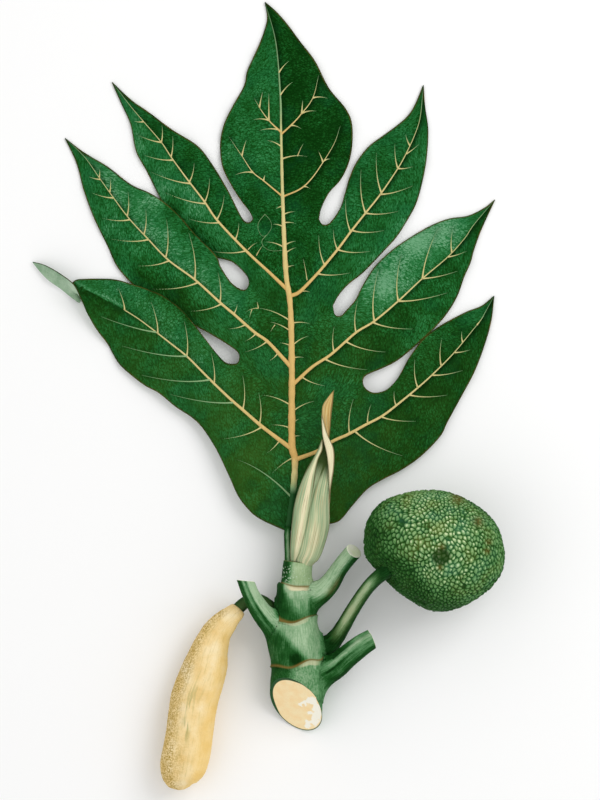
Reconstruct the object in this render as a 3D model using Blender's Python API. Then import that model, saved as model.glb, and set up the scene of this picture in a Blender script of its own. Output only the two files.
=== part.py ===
"""A cut sprig of the breadfruit tree, lying face up on a surface.

One piece of stem carries a seven-lobed leaf, a rolled bud sheath, a young fruit, a male flower spike and
the stubs of three older leaf stalks. X runs to the sprig's right, Y along the stem towards the leaf's tip,
and Z up from the surface that it lies on. The origin is under the middle of the sprig. Lengths are in
millimetres, and mesh_object turns them into metres.
"""

import math

import bmesh
import bpy
import numpy as np
from mathutils import Matrix, Vector

MM = 0.001
GAP = 0.3  # clearance between two pieces that touch

STEM_HEIGHT = 17.5  # of the stem's axis above the surface
STEM_SIDES = 32
CUT_CENTRE = (18.4, -201.0, STEM_HEIGHT)
CUT_NORMAL = (-0.32, -0.70, 0.64)
COLLAR_TOP = -108.5  # Y where the stem ends, and the leaf stalk and the bud sheath begin

FRUIT_CENTRE = (107.4, -100.7, 40.4)
FRUIT_HALF_HEIGHT = 41.0
# The fruit's reach from its centre in each direction, counter-clockwise from +X in degrees: it is fuller
# towards its stalk's upper side, and flatter below the stalk.
FRUIT_REACH = [(-170, 43.2), (-144, 36.8), (-118, 35.9), (-91, 39.4), (-64, 40.7), (-32, 44.2),
               (-8, 46.2), (22, 43.7), (49, 39.9), (78, 39.1), (100, 39.7), (120, 42.3), (138, 46.5),
               (158, 47.6), (180, 45.7)]
SPIKE_ROUND = 15.6  # the male flower spike's greatest radius

BLADE_THICKNESS = 1.0
BLADE_HEIGHT = 12.5  # of the blade's foot above the surface
BLADE_FOOT = (12.0, -88.5)
BLADE_FALL = (95.0, 190.0)  # how far across and along the blade comes down to the surface
VEIN_STEPS = 14  # rows of blade faces from a lobe's foot to its tip
JOIN_STEPS = 4  # faces along the join of two lobes
TIP_STEPS = 6  # rows of blade faces in the turned tip

# The leaf's outline and veins, as (x, y) or (x, y, lift). Lift raises a point above the blade's general
# height. The margins of each lobe run from the bottom of the sinus beside it to the lobe's tip.
MIDRIB = [(12, -89.5), (13, -84.5), (16, -61), (17, -42), (15, -30), (15, 19.5), (14, 57.5), (11, 81.5),
          (9, 129), (8, 171), (7.5, 194.5), (4.5, 229.5), (-2.5, 255.5)]
TOP_FORK = 97.5  # Y on the midrib where the top lobe begins

TOP_LEFT = [(-10.3, 114.4), (-13.3, 120.6), (-18, 126.6), (-24, 136), (-30, 148.5), (-31.5, 163.5),
            (-29, 176), (-23.5, 187.5), (-16, 201), (-9.5, 220.5), (-4.5, 232), (-1, 244.5), (-2.5, 255.5)]
TOP_RIGHT = [(32.5, 114.5), (34, 121.5), (39, 131.5), (46.5, 140), (51.5, 150), (54, 161.5), (54, 176),
             (50, 186), (39, 199.5), (30, 217), (20.5, 229.5), (12, 241), (4.5, 249.5), (-2.5, 255.5)]

# Each side lobe: its vein from where it leaves the midrib, the margin towards the leaf's top, and the margin
# towards the leaf's foot. The blade joins the lobe above and the lobe below along straight rows that end at
# these Ys on the midrib.
SIDE_LOBES = {
    "left_1": {
        "vein": [(11, 69.5), (-0.5, 80.5), (-14, 93), (-33, 113), (-52, 139), (-70, 164.5), (-90, 188),
                 (-102, 203.5)],
        "upper": [(-10.3, 114.4), (-11.4, 112.7), (-13.8, 112), (-16.8, 114), (-20, 119.5), (-27, 133.6),
                  (-37, 150), (-46.5, 162), (-63, 172.5), (-78.7, 184.2), (-89.6, 191.8), (-102, 203.5)],
        "upper_join": 97.5,
        "lower": [(-12.8, 72.2), (-15.2, 79, -1), (-23.5, 86.5, -1.5), (-34.5, 90, -2.2),
                  (-44.5, 97, -2.6), (-56.5, 108, -2.4), (-65.5, 118.5, -1.5), (-79, 145), (-86.2, 158.5),
                  (-89.8, 176), (-96, 190), (-102, 203.5)],
        "lower_join": 45.5,
    },
    "left_2": {
        "vein": [(11, 22), (-0.5, 34.5), (-9.5, 41), (-31.5, 60), (-48, 75), (-65.5, 88), (-79, 102),
                 (-101.5, 129), (-120, 155), (-132.5, 167)],
        "upper": [(-12.8, 72.2), (-13.6, 69.8), (-15.6, 68.2), (-19.5, 69.2, 0.5), (-25, 73.5, 1),
                  (-31.5, 83.5, 1.6), (-37, 93.5, 2.4), (-50.5, 107.5, 3), (-59, 117.5, 2.6), (-69, 126, 1.5),
                  (-78, 131.5, 0.8), (-90, 137), (-105, 148.5), (-120, 157.5), (-132.5, 167)],
        "upper_join": 45.5,
        "lower": [(-18.9, 24), (-21, 29, -0.6), (-29, 34.5, -1.2), (-40, 41, -1.7),
                  (-49.5, 46, -2), (-61, 52.5, -2.2), (-74, 60.5, -2), (-89, 72.5, -1), (-98.5, 83.5, -0.4),
                  (-105, 97.5), (-113.5, 115), (-120, 132.5), (-125, 151), (-132.5, 167)],
        "lower_join": -6.5,
    },
    "left_3": {
        "vein": [(13, -33.5), (3.5, -26.5), (-17, -9.5), (-35, 7), (-53, 25), (-63, 33), (-82.5, 48),
                 (-105, 63, 0.5), (-118, 68, 3.5)],
        "upper": [(-18.9, 24), (-21.6, 20.2), (-28, 21, 0.6), (-34.5, 27.5, 1.2), (-43, 38.5, 2),
                  (-55, 53.5, 2.4), (-66.5, 63, 2.4), (-78, 68.5, 2.2), (-89, 72, 1.6), (-100, 75, 0.6),
                  (-112.5, 75.5), (-123.5, 75.2)],
        "upper_join": -6.5,
        "lower": [(12, -88.5), (4, -85), (-11.5, -76), (-19.5, -66), (-25, -54), (-31.5, -40), (-44, -20),
                  (-60.5, -7.5), (-81.5, 7), (-95.5, 18.5), (-104.5, 33), (-112, 43, 2.5), (-117.7, 53, 6),
                  (-119.5, 57.5, 8)],
        "lower_join": None,
    },
    "right_1": {
        "vein": [(14.5, 64.5), (20.5, 67.5), (32.5, 80), (53.5, 106.5), (72.5, 130.5), (90, 158.5),
                 (98.5, 181), (100.5, 201.5)],
        "upper": [(32.5, 114.5), (34.5, 111), (38.5, 111), (42.5, 115), (47, 122.5), (53, 142.5),
                  (57.5, 152), (65, 161.5), (73.5, 168), (90, 181), (95, 188.5), (100.5, 201.5)],
        "upper_join": 97.5,
        "lower": [(41.5, 58), (45, 64.5), (61.5, 80), (74.8, 93.9), (89.6, 113.2), (95.7, 124.6),
                  (100, 140), (102.6, 155), (103.5, 172.5), (101.5, 187.5), (100.5, 201.5)],
        "lower_join": 36,
    },
    "right_2": {
        "vein": [(17.5, 8.5), (28.5, 18.5), (40.5, 26.5), (68.5, 48), (84, 61), (99.5, 75.5), (116, 89.5),
                 (133.5, 111), (147, 127)],
        "upper": [(41.5, 58), (43, 52), (47, 51.5), (50, 54.5), (56.5, 62), (68.8, 83.2), (79.3, 93.5),
                  (104.4, 109.6), (116.8, 114.5), (129.5, 116.5), (140, 121.5), (147, 127)],
        "upper_join": 36,
        "lower": [(61, 8), (61.3, 10.8), (64, 13.5), (82.5, 22), (99.5, 36), (107.5, 43.5),
                  (116, 53.5), (122.5, 64.5), (131, 86), (138.5, 108.5), (147, 127)],
        "lower_join": -16,
    },
    "right_3": {
        "vein": [(18.5, -41.5), (31.5, -36.5), (51.5, -25.5), (73, -14), (96.5, 4.5), (119.5, 26.5),
                 (132, 41.5), (146.5, 64.5)],
        "upper": [(61, 8), (62.2, 5), (66, 2), (71, 1.5), (77.5, 4), (84, 11), (90, 22), (101, 37),
                  (110, 44), (129.5, 54.5), (138.5, 58), (146.5, 64.5)],
        "upper_join": -16,
        "lower": [(12, -88.5), (27, -85.5), (40, -83.5), (46.5, -81), (54, -72), (64, -61), (87, -48),
                  (99.5, -39), (111.5, -26.5), (125, -1), (133.5, 15), (140, 32), (144.5, 48),
                  (146.5, 64.5)],
        "lower_join": None,
    },
}

# The tip of the lowest left lobe goes on from its vein and margins and turns over once, showing its
# underside: the lower margin crosses above the upper one.
TURNED_TIP = {
    "vein": [(-118, 68, 3.5), (-124.3, 66.3, 5), (-129.5, 70, 5), (-137, 75, 4.5), (-145.5, 81, 3.5),
             (-153.5, 86.5, 1)],
    "upper": [(-123.5, 75.2), (-127.5, 73.5), (-126, 68.5), (-122.5, 62), (-122.8, 59.8, 0.3),
              (-127.5, 63, 1.2), (-135, 69, 2), (-143.5, 75, 2.5), (-150, 82, 1.5), (-153.5, 86.5, 1)],
    "lower": [(-119.5, 57.5, 8), (-122, 63, 10), (-125, 69.5, 11.5), (-128.5, 73.7, 11), (-137.5, 80, 8.5),
              (-146, 84.5, 5), (-153.5, 86.5, 1)],
}

# Shared shape helpers


def clear_scene():
    for obj in list(bpy.data.objects):
        bpy.data.objects.remove(obj)


def material(name, colour, roughness):
    made = bpy.data.materials.new(name)
    made.use_nodes = True
    shader = made.node_tree.nodes["Principled BSDF"]
    shader.inputs["Base Color"].default_value = (*colour, 1.0)
    shader.inputs["Roughness"].default_value = roughness
    return made


def mesh_object(name, points, faces, look):
    """A named object from points in millimetres, with its faces turned outwards."""
    mesh = bpy.data.meshes.new(name)
    mesh.from_pydata((np.asarray(points) * MM).tolist(), [], faces)
    tidy = bmesh.new()
    tidy.from_mesh(mesh)
    bmesh.ops.recalc_face_normals(tidy, faces=tidy.faces)
    tidy.to_mesh(mesh)
    tidy.free()
    mesh.shade_smooth()
    mesh.set_sharp_from_angle(angle=math.radians(40))
    mesh.materials.append(look)
    obj = bpy.data.objects.new(name, mesh)
    bpy.context.scene.collection.objects.link(obj)
    return obj


def cut_flat(obj, point, normal):
    """Takes off everything beyond the plane through this point, and closes the body with a flat face."""
    tidy = bmesh.new()
    tidy.from_mesh(obj.data)
    cut = bmesh.ops.bisect_plane(
        tidy,
        geom=tidy.verts[:] + tidy.edges[:] + tidy.faces[:],
        plane_co=Vector(point) * MM,
        plane_no=Vector(normal).normalized(),
        clear_outer=True,
    )
    rim = [item for item in cut["geom_cut"] if isinstance(item, bmesh.types.BMEdge)]
    bmesh.ops.contextual_create(tidy, geom=rim)
    bmesh.ops.recalc_face_normals(tidy, faces=tidy.faces)
    tidy.to_mesh(obj.data)
    tidy.free()


def boolean(obj, other, operation):
    """Cuts other away from obj, or joins it on. The other object is left out of the part."""
    modifier = obj.modifiers.new(f"{operation.lower()} {other.name}", "BOOLEAN")
    modifier.operation = operation
    modifier.solver = "EXACT"
    modifier.object = other
    other.hide_render = True
    other.display_type = "WIRE"


def smooth_curve(points, count):
    """Evenly spaced points along a Catmull-Rom curve through the given ones."""
    knots = np.asarray(points, float)
    knots = np.vstack([2 * knots[0] - knots[1], knots, 2 * knots[-1] - knots[-2]])
    fine = []
    for before, start, end, after in zip(knots, knots[1:], knots[2:], knots[3:]):
        for t in np.linspace(0, 1, 16, endpoint=False):
            fine.append(0.5 * (2 * start + (end - before) * t
                               + (2 * before - 5 * start + 4 * end - after) * t ** 2
                               + (3 * start - before - 3 * end + after) * t ** 3))
    fine.append(knots[-2])
    return sample(np.array(fine), np.linspace(0, 1, count))


def sample(line, shares):
    """Points of a polyline at the given shares of its length."""
    steps = np.linalg.norm(np.diff(line, axis=0), axis=1)
    along = np.concatenate([[0], np.cumsum(steps)]) / steps.sum()
    return np.stack([np.interp(shares, along, line[:, axis]) for axis in range(line.shape[1])], axis=1)


def loft(rings):
    """Points and faces of a closed skin through rings that hold equally many points each."""
    rings = np.asarray(rings)
    count, sides = rings.shape[:2]
    faces = []
    for ring in range(count - 1):
        for side in range(sides):
            near = ring * sides
            turn = (side + 1) % sides
            faces.append([near + side, near + turn, near + sides + turn, near + sides + side])
    faces.append(list(range(sides))[::-1])
    faces.append([(count - 1) * sides + side for side in range(sides)])
    return rings.reshape(-1, 3), faces


def rod(spine, widths, depths, sides, grow=0.0):
    """Rings around a spine. Width lies level, across the spine, and depth stands square to both."""
    spine = np.array(spine, float)
    along = np.gradient(spine, axis=0)
    along /= np.linalg.norm(along, axis=1, keepdims=True)
    spine[0] -= along[0] * grow
    spine[-1] += along[-1] * grow
    level = np.cross(along, (0, 0, 1))
    level /= np.linalg.norm(level, axis=1, keepdims=True)
    rise = np.cross(level, along)
    turns = np.linspace(0, 2 * math.pi, sides, endpoint=False)
    rings = []
    for point, side, up, width, depth in zip(spine, level, rise, widths, depths):
        rings.append([point + side * (width + grow) * math.cos(a) + up * (depth + grow) * math.sin(a)
                      for a in turns])
    return rings


def stalk(name, stations, sides, count, look, grow=0.0):
    """A tapering stalk through stations of (x, y, z, width, depth), both measured from its middle."""
    line = smooth_curve(stations, count)
    return mesh_object(name, *loft(rod(line[:, :3], line[:, 3], line[:, 4], sides, grow)), look)


# The stem


def stem_rings(grow=0.0):
    """Rings of the stem from below its cut end to the collar, with a ridge at each ring scar."""
    stations = [(-228, 17.8, 16.8), (-205, 18.1, 17.0), (-190, 18.8, 17.3), (-177, 18.6, 17.0),
                (-174.8, 18.5, 17.7), (-172.5, 18.3, 17.0), (-164, 17.7, 17.2), (-155, 17.6, 15.6),
                (-147, 17.8, 13.8), (-145, 17.6, 14.2), (-143, 17.4, 12.8), (-136, 17.1, 11.9),
                (-127, 16.9, 11.6), (-124.8, 17.1, 11.8), (-122.8, 17.5, 9.8), (-114, 18.4, 9.7),
                (COLLAR_TOP, 19.1, 9.5)]
    turns = np.linspace(0, 2 * math.pi, STEM_SIDES, endpoint=False)
    rings = []
    for y, x, radius in stations:
        reach = radius + grow
        rings.append([(x + reach * math.cos(a), y, STEM_HEIGHT + reach * math.sin(a)) for a in turns])
    if grow:
        rings.append([(x, y + grow, z) for x, y, z in rings[-1]])
    return rings


def make_stem():
    """The stem, with the slanting cut that took the sprig off its tree."""
    stem = mesh_object("stem", *loft(stem_rings()), material("stem bark", (0.12, 0.29, 0.14), 0.6))
    cut_flat(stem, CUT_CENTRE, CUT_NORMAL)


def clear_of_stem(obj):
    """Ends a piece just short of the stem that it grew from."""
    cutter = mesh_object(f"{obj.name}_stem_room", *loft(stem_rings(GAP)), obj.data.materials[0])
    boolean(obj, cutter, "DIFFERENCE")


# The leaf


def blade_height(x, y):
    """The general height of the blade's middle surface: it comes down from its foot to the surface."""
    across = (x - BLADE_FOOT[0]) / BLADE_FALL[0]
    along = (y - BLADE_FOOT[1]) / BLADE_FALL[1]
    return BLADE_THICKNESS / 2 + BLADE_HEIGHT * math.exp(-across ** 2 - along ** 2)


def on_blade(points):
    """(x, y) or (x, y, lift) points as places on the blade."""
    placed = []
    for x, y, *lift in points:
        height = blade_height(x, y) + sum(lift)
        placed.append((x, y, max(height, BLADE_THICKNESS / 2)))
    return placed


def midrib_at(line, y):
    """The point of the midrib's line at this Y."""
    return np.array([np.interp(y, line[:, 1], line[:, axis]) for axis in range(3)])


def join_to_sinus(midrib, y, sinus):
    """The straight row of blade points from the midrib to the bottom of a sinus."""
    return np.linspace(midrib_at(midrib, y), sinus, JOIN_STEPS + 1)


def lobe_half(vein, edge, foot, points, faces, index):
    """Adds the half of a lobe between its vein and its edge. foot is its row of points along u = 0."""
    rows = []
    shares = np.linspace(0, 1, len(vein))
    for share, inner, outer in zip(shares, vein, edge):
        across = np.linspace(0, 1, len(foot))[:, None]
        row = inner * (1 - across) + outer * across
        straight = foot[0] * (1 - across) + foot[-1] * across
        row = row + (foot - straight) * max(0.0, 1 - share / 0.3)
        rows.append([add_point(point, points, index) for point in row])
    for near, far in zip(rows, rows[1:]):
        for a, b, c, d in zip(near, near[1:], far[1:], far):
            face = list(dict.fromkeys((a, b, c, d)))
            if len(face) > 2:
                faces.append(face)


def add_point(point, points, index):
    """The number of this point in the mesh: points of two halves that meet are one."""
    key = tuple(np.round(point, 2))
    if key not in index:
        index[key] = len(points)
        points.append(key)
    return index[key]


def half_edge(midrib, lobe, side):
    """The outer edge of one half of a side lobe, and the Ys of the midrib stretch that closes its foot."""
    margin = smooth_curve(on_blade(lobe[side]), 200)
    join = lobe[f"{side}_join"]
    start = lobe["vein"][0][1]
    if join is None:
        margin[0] = midrib_at(midrib, BLADE_FOOT[1])
        return sample(margin, np.linspace(0, 1, VEIN_STEPS + 1)), midrib_stops(start, BLADE_FOOT[1])
    row = join_to_sinus(midrib, join, margin[0])
    open_part = sample(margin, np.linspace(0, 1, VEIN_STEPS + 1 - JOIN_STEPS))
    return np.vstack([row[:-1], open_part]), midrib_stops(start, join)


def with_turned_tip(line, part):
    return np.vstack([line[:-1], smooth_curve(on_blade(TURNED_TIP[part]), TIP_STEPS + 1)])


def make_blade(look):
    midrib = smooth_curve(on_blade(MIDRIB), 400)
    points, faces, index = [], [], {}
    for margin in (TOP_LEFT, TOP_RIGHT):
        edge = smooth_curve(on_blade(margin), VEIN_STEPS + 1)
        foot = join_to_sinus(midrib, TOP_FORK, edge[0])
        vein_y = np.linspace(TOP_FORK, MIDRIB[-1][1], VEIN_STEPS + 1)
        lobe_half(np.array([midrib_at(midrib, y) for y in vein_y]), edge, foot, points, faces, index)
    for name, lobe in SIDE_LOBES.items():
        vein = smooth_curve(on_blade(lobe["vein"]), VEIN_STEPS + 1)
        vein[0] = midrib_at(midrib, lobe["vein"][0][1])
        for side in ("upper", "lower"):
            edge, foot_ys = half_edge(midrib, lobe, side)
            foot = np.array([midrib_at(midrib, y) for y in foot_ys])
            spine = vein
            if name == "left_3":
                spine, edge = with_turned_tip(vein, "vein"), with_turned_tip(edge, side)
            lobe_half(spine, edge, foot, points, faces, index)
    blade = mesh_object("leaf", points, faces, look)
    thick = blade.modifiers.new("blade thickness", "SOLIDIFY")
    thick.thickness = BLADE_THICKNESS * MM
    thick.offset = 0.0
    return blade


def midrib_stops(start, end):
    """The Ys of the blade's points along the midrib between two places, the same on both sides."""
    stops = {BLADE_FOOT[1], TOP_FORK}
    for lobe in SIDE_LOBES.values():
        stops.add(lobe["vein"][0][1])
        for side in ("upper_join", "lower_join"):
            if lobe[side] is not None:
                stops.add(lobe[side])
    low, high = sorted((start, end))
    between = sorted(y for y in stops if low <= y <= high)
    return between if start < end else between[::-1]


def make_leaf():
    look = material("leaf green", (0.03, 0.11, 0.03), 0.5)
    leaf = make_blade(look)
    rise = BLADE_THICKNESS / 2
    stations = [(13.4, COLLAR_TOP - 3, 14.5, 3.0, 4.0), (12.8, -98, 13.6, 2.6, 3.6)]
    widths = np.interp([y for _, y in MIDRIB[1:]], (-85, -30, 80, 171, 256), (2.6, 2.6, 2.0, 1.3, 0.7))
    for (x, y), width in zip(MIDRIB[1:-1], widths):
        stations.append((x, y, blade_height(x, y) + rise * 0.4, width, width))
    rib = stalk("leaf_midrib", stations, 10, 30, look)
    boolean(leaf, rib, "UNION")
    clear_of_stem(leaf)


# Everything else that grows on the stem


def make_sheath():
    stations = [(21.2, COLLAR_TOP - 3, 21.8, 5.0, 4.2), (24.2, -101.3, 24.0, 9.6, 7.0),
                (26.1, -93.5, 25.5, 11.5, 8.2), (27.4, -83.8, 26.5, 12.2, 8.8),
                (28.4, -73.4, 27.0, 11.4, 8.6), (29.7, -63.0, 27.0, 10.7, 8.0),
                (32.0, -53.2, 26.5, 9.7, 7.0), (34.6, -45.4, 26.0, 7.6, 5.6),
                (36.6, -38.0, 25.5, 5.2, 4.2), (37.3, -28.0, 25.0, 3.2, 3.0),
                (37.6, -15.0, 25.5, 2.9, 2.4), (38.8, -7.0, 26.0, 2.9, 2.0), (42.4, 3.3, 27.0, 0.6, 0.6)]
    clear_of_stem(stalk("bud_sheath", stations, 20, 32, material("bud sheath", (0.50, 0.50, 0.33), 0.6)))


def make_stubs():
    look = material("petiole green", (0.17, 0.30, 0.16), 0.55)
    left = [(9.5, -158.5, 13.0, 8.2, 7.5), (4.0, -151.4, 18.0, 7.5, 7.0),
            (-1.4, -145.3, 24.0, 7.1, 6.4), (-7.0, -137.5, 29.5, 6.4, 5.8),
            (-11.4, -129.5, 34.0, 5.6, 5.3), (-15.0, -121.2, 38.0, 5.2, 5.0)]
    upper_right = [(18.0, -133.5, 17.5, 9.5, 9.0), (26.5, -131.5, 18.0, 8.2, 7.8),
                   (33.8, -128.6, 18.7, 7.0, 6.8), (39.9, -122.0, 19.6, 6.5, 6.2),
                   (45.1, -113.8, 21.0, 5.6, 5.5), (50.8, -106.3, 23.3, 5.5, 5.3),
                   (55.2, -101.3, 25.5, 5.5, 5.3)]
    lower_right = [(22.0, -186.0, 15.0, 8.5, 8.0), (33.0, -182.0, 19.0, 8.6, 7.8),
                   (42.7, -176.6, 24.0, 8.2, 7.2), (50.6, -169.8, 28.0, 7.6, 6.6),
                   (59.5, -162.8, 32.0, 7.2, 6.0), (66.8, -158.2, 35.0, 6.5, 5.4)]
    for name, stations in (("left", left), ("upper_right", upper_right), ("lower_right", lower_right)):
        clear_of_stem(stalk(f"petiole_stub_{name}", stations, 16, 10, look))


def fruit_mesh(grow=0.0):
    """The fruit's points and faces: an uneven ball with a shallow dimple at its free end."""
    rows, sides = 16, 28
    tilt = Matrix.Rotation(math.radians(20), 3, "X") @ Matrix.Rotation(math.radians(6), 3, "Y")
    points = []
    for row in range(1, rows):
        polar = math.pi * row / rows
        ring = math.sin(polar)
        for side in range(sides):
            turn = 2 * math.pi * side / sides
            points.append((ring * math.cos(turn), ring * math.sin(turn), math.cos(polar)))
    points = [(0, 0, 0.97)] + points + [(0, 0, -1)]
    turns, reaches = zip(*FRUIT_REACH)
    placed = []
    for unit in points:
        x, y, z = tilt @ Vector(unit)
        reach = np.interp(math.degrees(math.atan2(y, x)), turns, reaches, period=360) + grow
        along = Vector((reach * x, reach * y, (FRUIT_HALF_HEIGHT + grow) * z))
        placed.append(tuple(Vector(FRUIT_CENTRE) + along))
    faces = []
    last = len(points) - 1
    for side in range(sides):
        turn = (side + 1) % sides
        faces.append([0, 1 + side, 1 + turn])
        faces.append([last, last - sides + turn, last - sides + side])
        for row in range(rows - 2):
            near = 1 + row * sides
            faces.append([near + side, near + sides + side, near + sides + turn, near + turn])
    return placed, faces


def make_fruit():
    """The young fruit, with the small flat spot that it rests on, and its stalk."""
    look = material("young fruit", (0.12, 0.22, 0.09), 0.65)
    fruit = mesh_object("fruit", *fruit_mesh(), look)
    cut_flat(fruit, (0, 0, 0), (0, 0, -1))
    fruit.data.set_sharp_from_angle(angle=math.radians(30))
    stations = [(24.0, -172.0, 13.5, 8.0, 8.0), (36.5, -164.4, 14.0, 7.0, 7.0),
                (43.5, -157.5, 15.0, 5.6, 5.6), (48.4, -150.0, 17.0, 4.9, 4.9),
                (53.6, -140.9, 20.5, 4.6, 4.6), (59.7, -131.2, 27.0, 4.4, 4.4),
                (65.3, -123.6, 36.0, 4.4, 4.4), (71.8, -117.2, 46.5, 4.6, 4.6),
                (80.0, -111.5, 55.0, 5.0, 5.0)]
    carrier = stalk("fruit_stalk", stations, 12, 16, material("fruit stalk", (0.20, 0.30, 0.13), 0.6))
    clear_of_stem(carrier)
    room = mesh_object("fruit_stalk_fruit_room", *fruit_mesh(GAP), look)
    boolean(carrier, room, "DIFFERENCE")


def make_flower_spike():
    """The cream male flower spike, lying on the surface, and the arched stalk that carries it."""
    slim = SPIKE_ROUND - 0.3
    stations = [(-19.6, -139.4, 20.0, 4.8, 4.8), (-23.5, -142.9, 19.0, 6.3, 6.3),
                (-27.4, -146.7, 18.0, 7.8, 7.8), (-33.6, -154.3, 16.5, 9.6, 9.6),
                (-38.0, -165.0, 15.9, 11.9, 11.9), (-40.5, -174.6, 15.7, 14.0, 14.0),
                (-44.0, -185.3, 15.65, 15.0, 15.0),
                (-48.0, -197.2, 15.65, SPIKE_ROUND, SPIKE_ROUND), (-50.1, -208.3, 15.65, slim, slim),
                (-51.9, -220.2, 15.65, slim, slim), (-53.7, -231.2, 15.65, SPIKE_ROUND, SPIKE_ROUND),
                (-55.7, -240.6, 15.65, 15.2, 15.2), (-56.8, -247.3, 15.65, 13.2, 13.2),
                (-57.0, -252.0, 15.65, 10.0, 10.0), (-56.7, -254.8, 15.65, 5.6, 5.6),
                (-56.5, -256.3, 15.65, 1.6, 1.6)]
    look = material("flower spike", (0.85, 0.65, 0.32), 0.75)
    stalk("flower_spike", stations, 24, 30, look)
    arch = [(14.0, -149.0, 9.0, 5.0, 5.0), (7.0, -143.0, 9.0, 4.4, 4.4), (1.0, -137.5, 12.0, 4.0, 4.0),
            (-5.5, -133.2, 15.5, 3.8, 3.8), (-11.5, -133.0, 18.0, 3.9, 3.9), (-17.0, -136.0, 19.5, 4.0, 4.0),
            (-23.5, -142.5, 19.3, 4.0, 4.0)]
    green = material("flower spike stalk", (0.06, 0.15, 0.05), 0.6)
    carrier = stalk("flower_spike_stalk", arch, 12, 14, green)
    clear_of_stem(carrier)
    room = stalk("flower_spike_stalk_spike_room", stations, 24, 30, look, GAP)
    boolean(carrier, room, "DIFFERENCE")


def main():
    clear_scene()
    make_stem()
    make_leaf()
    make_sheath()
    make_stubs()
    make_fruit()
    make_flower_spike()


main()
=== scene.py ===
"""Looks of the breadfruit sprig: leaf, fruit, flower spike, bud sheath, stem and cut leaf stalks.

The sprig lies face up on a pale floor and the camera looks straight down on it. Lengths are in
millimetres, which add_piece turns into metres. Only sizes inside a material, the floor and the lights
are in metres. Numbers that a mesh carries for each point, such as the distance to the nearest vein,
drive its colours.
"""

import math

import bpy
import numpy as np
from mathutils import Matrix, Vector
from mathutils.bvhtree import BVHTree
from mathutils.kdtree import KDTree


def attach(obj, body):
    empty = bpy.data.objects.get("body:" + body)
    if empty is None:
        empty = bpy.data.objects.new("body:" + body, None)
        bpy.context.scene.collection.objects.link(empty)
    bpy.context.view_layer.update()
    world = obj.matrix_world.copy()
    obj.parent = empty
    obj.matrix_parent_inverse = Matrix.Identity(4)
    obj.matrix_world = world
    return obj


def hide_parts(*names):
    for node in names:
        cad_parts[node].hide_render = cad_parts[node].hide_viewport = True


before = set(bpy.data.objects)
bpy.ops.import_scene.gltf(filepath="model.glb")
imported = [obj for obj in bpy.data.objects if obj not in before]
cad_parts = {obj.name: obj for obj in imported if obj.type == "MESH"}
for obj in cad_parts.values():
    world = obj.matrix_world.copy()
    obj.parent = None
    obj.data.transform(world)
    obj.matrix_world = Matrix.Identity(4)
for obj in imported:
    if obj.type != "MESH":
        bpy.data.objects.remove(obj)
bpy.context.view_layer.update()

MM = 0.001
RNG = np.random.default_rng(11)


# Shape helpers


def run_along(line):
    """How far along a polyline each of its points lies."""
    steps = np.linalg.norm(np.diff(line, axis=0), axis=1)
    return np.concatenate([[0], np.cumsum(steps)])


def sample(line, shares):
    """Points of a polyline at the given shares of its length."""
    run = run_along(line)
    return np.stack([np.interp(shares, run / run[-1], values) for values in line.T], axis=1)


def smooth_curve(points, count):
    """Evenly spaced points along a Catmull-Rom curve through the given ones."""
    knots = np.asarray(points, float)
    knots = np.vstack([2 * knots[0] - knots[1], knots, 2 * knots[-1] - knots[-2]])
    t = np.linspace(0, 1, 16, endpoint=False)[:, None]
    fine = []
    for before, start, end, after in zip(knots, knots[1:], knots[2:], knots[3:]):
        fine.append(0.5 * (2 * start + (end - before) * t
                           + (2 * before - 5 * start + 4 * end - after) * t ** 2
                           + (3 * start - before - 3 * end + after) * t ** 3))
    fine.append(knots[-2][None])
    return sample(np.vstack(fine), np.linspace(0, 1, count))


def ease(value):
    """Smooth step from 0 to 1."""
    value = np.clip(value, 0, 1)
    return value * value * (3 - 2 * value)


def band(value, middle, spread):
    """A soft band that is 1 at its middle and fades to 0 on both sides."""
    return np.exp(-((value - middle) / spread) ** 2)


def spot(points, x, y, radius):
    """A soft round spot on points seen from above, from 1 at its middle to 0."""
    return band(np.hypot(points[..., 0] - x, points[..., 1] - y), 0, radius)


def unit(vectors):
    """The vectors brought to length 1."""
    return vectors / np.linalg.norm(vectors, axis=-1, keepdims=True)


def facing(turns, angle, spread):
    """How nearly each side of a rod faces this way, from 1 to 0. Angles are in degrees."""
    return band((turns - angle + 180) % 360, 180, spread)


def search_tree(points):
    """A search tree that holds points of two or three numbers."""
    tree = KDTree(len(points))
    for number, point in enumerate(points):
        tree.insert((*point, 0)[:3], number)
    tree.balance()
    return tree


def grid_faces(rows, columns, closed=False, start=0):
    """Quads of a grid of points. A closed grid joins its last column to its first."""
    across = columns if closed else columns - 1
    row, column = np.meshgrid(np.arange(rows - 1), np.arange(across), indexing="ij")
    after = (column + 1) % columns
    near = start + row * columns
    far = near + columns
    return np.stack([near + column, near + after, far + after, far + column], axis=-1).reshape(-1, 4)


def skin_faces(rows, sides, start=0, first_end=True, last_end=True):
    """Faces of a skin around rings from rings_along, looking outwards, with or without flat ends."""
    faces = grid_faces(rows, sides, closed=True, start=start)[:, ::-1].tolist()
    if first_end:
        faces.append([start + side for side in range(sides)])
    if last_end:
        faces.append([start + rows * sides - 1 - side for side in range(sides)])
    return faces


def directions(spine):
    """The unit vectors along a spine, level across it and upwards, at each of its points."""
    along = unit(np.gradient(spine, axis=0))
    level = unit(np.cross(along, (0, 0, 1)))
    return along, level, np.cross(level, along)


def rings_along(spine, widths, depths, sides, reach=1.0):
    """Rings of points around a spine, as (stations, sides, 3). Reach scales how far out each point is."""
    _, level, rise = directions(spine)
    turns = np.linspace(0, 2 * math.pi, sides, endpoint=False)
    across = level[:, None] * (widths[:, None] * np.cos(turns) * reach)[..., None]
    up = rise[:, None] * (depths[:, None] * np.sin(turns) * reach)[..., None]
    return spine[:, None] + across + up


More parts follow.
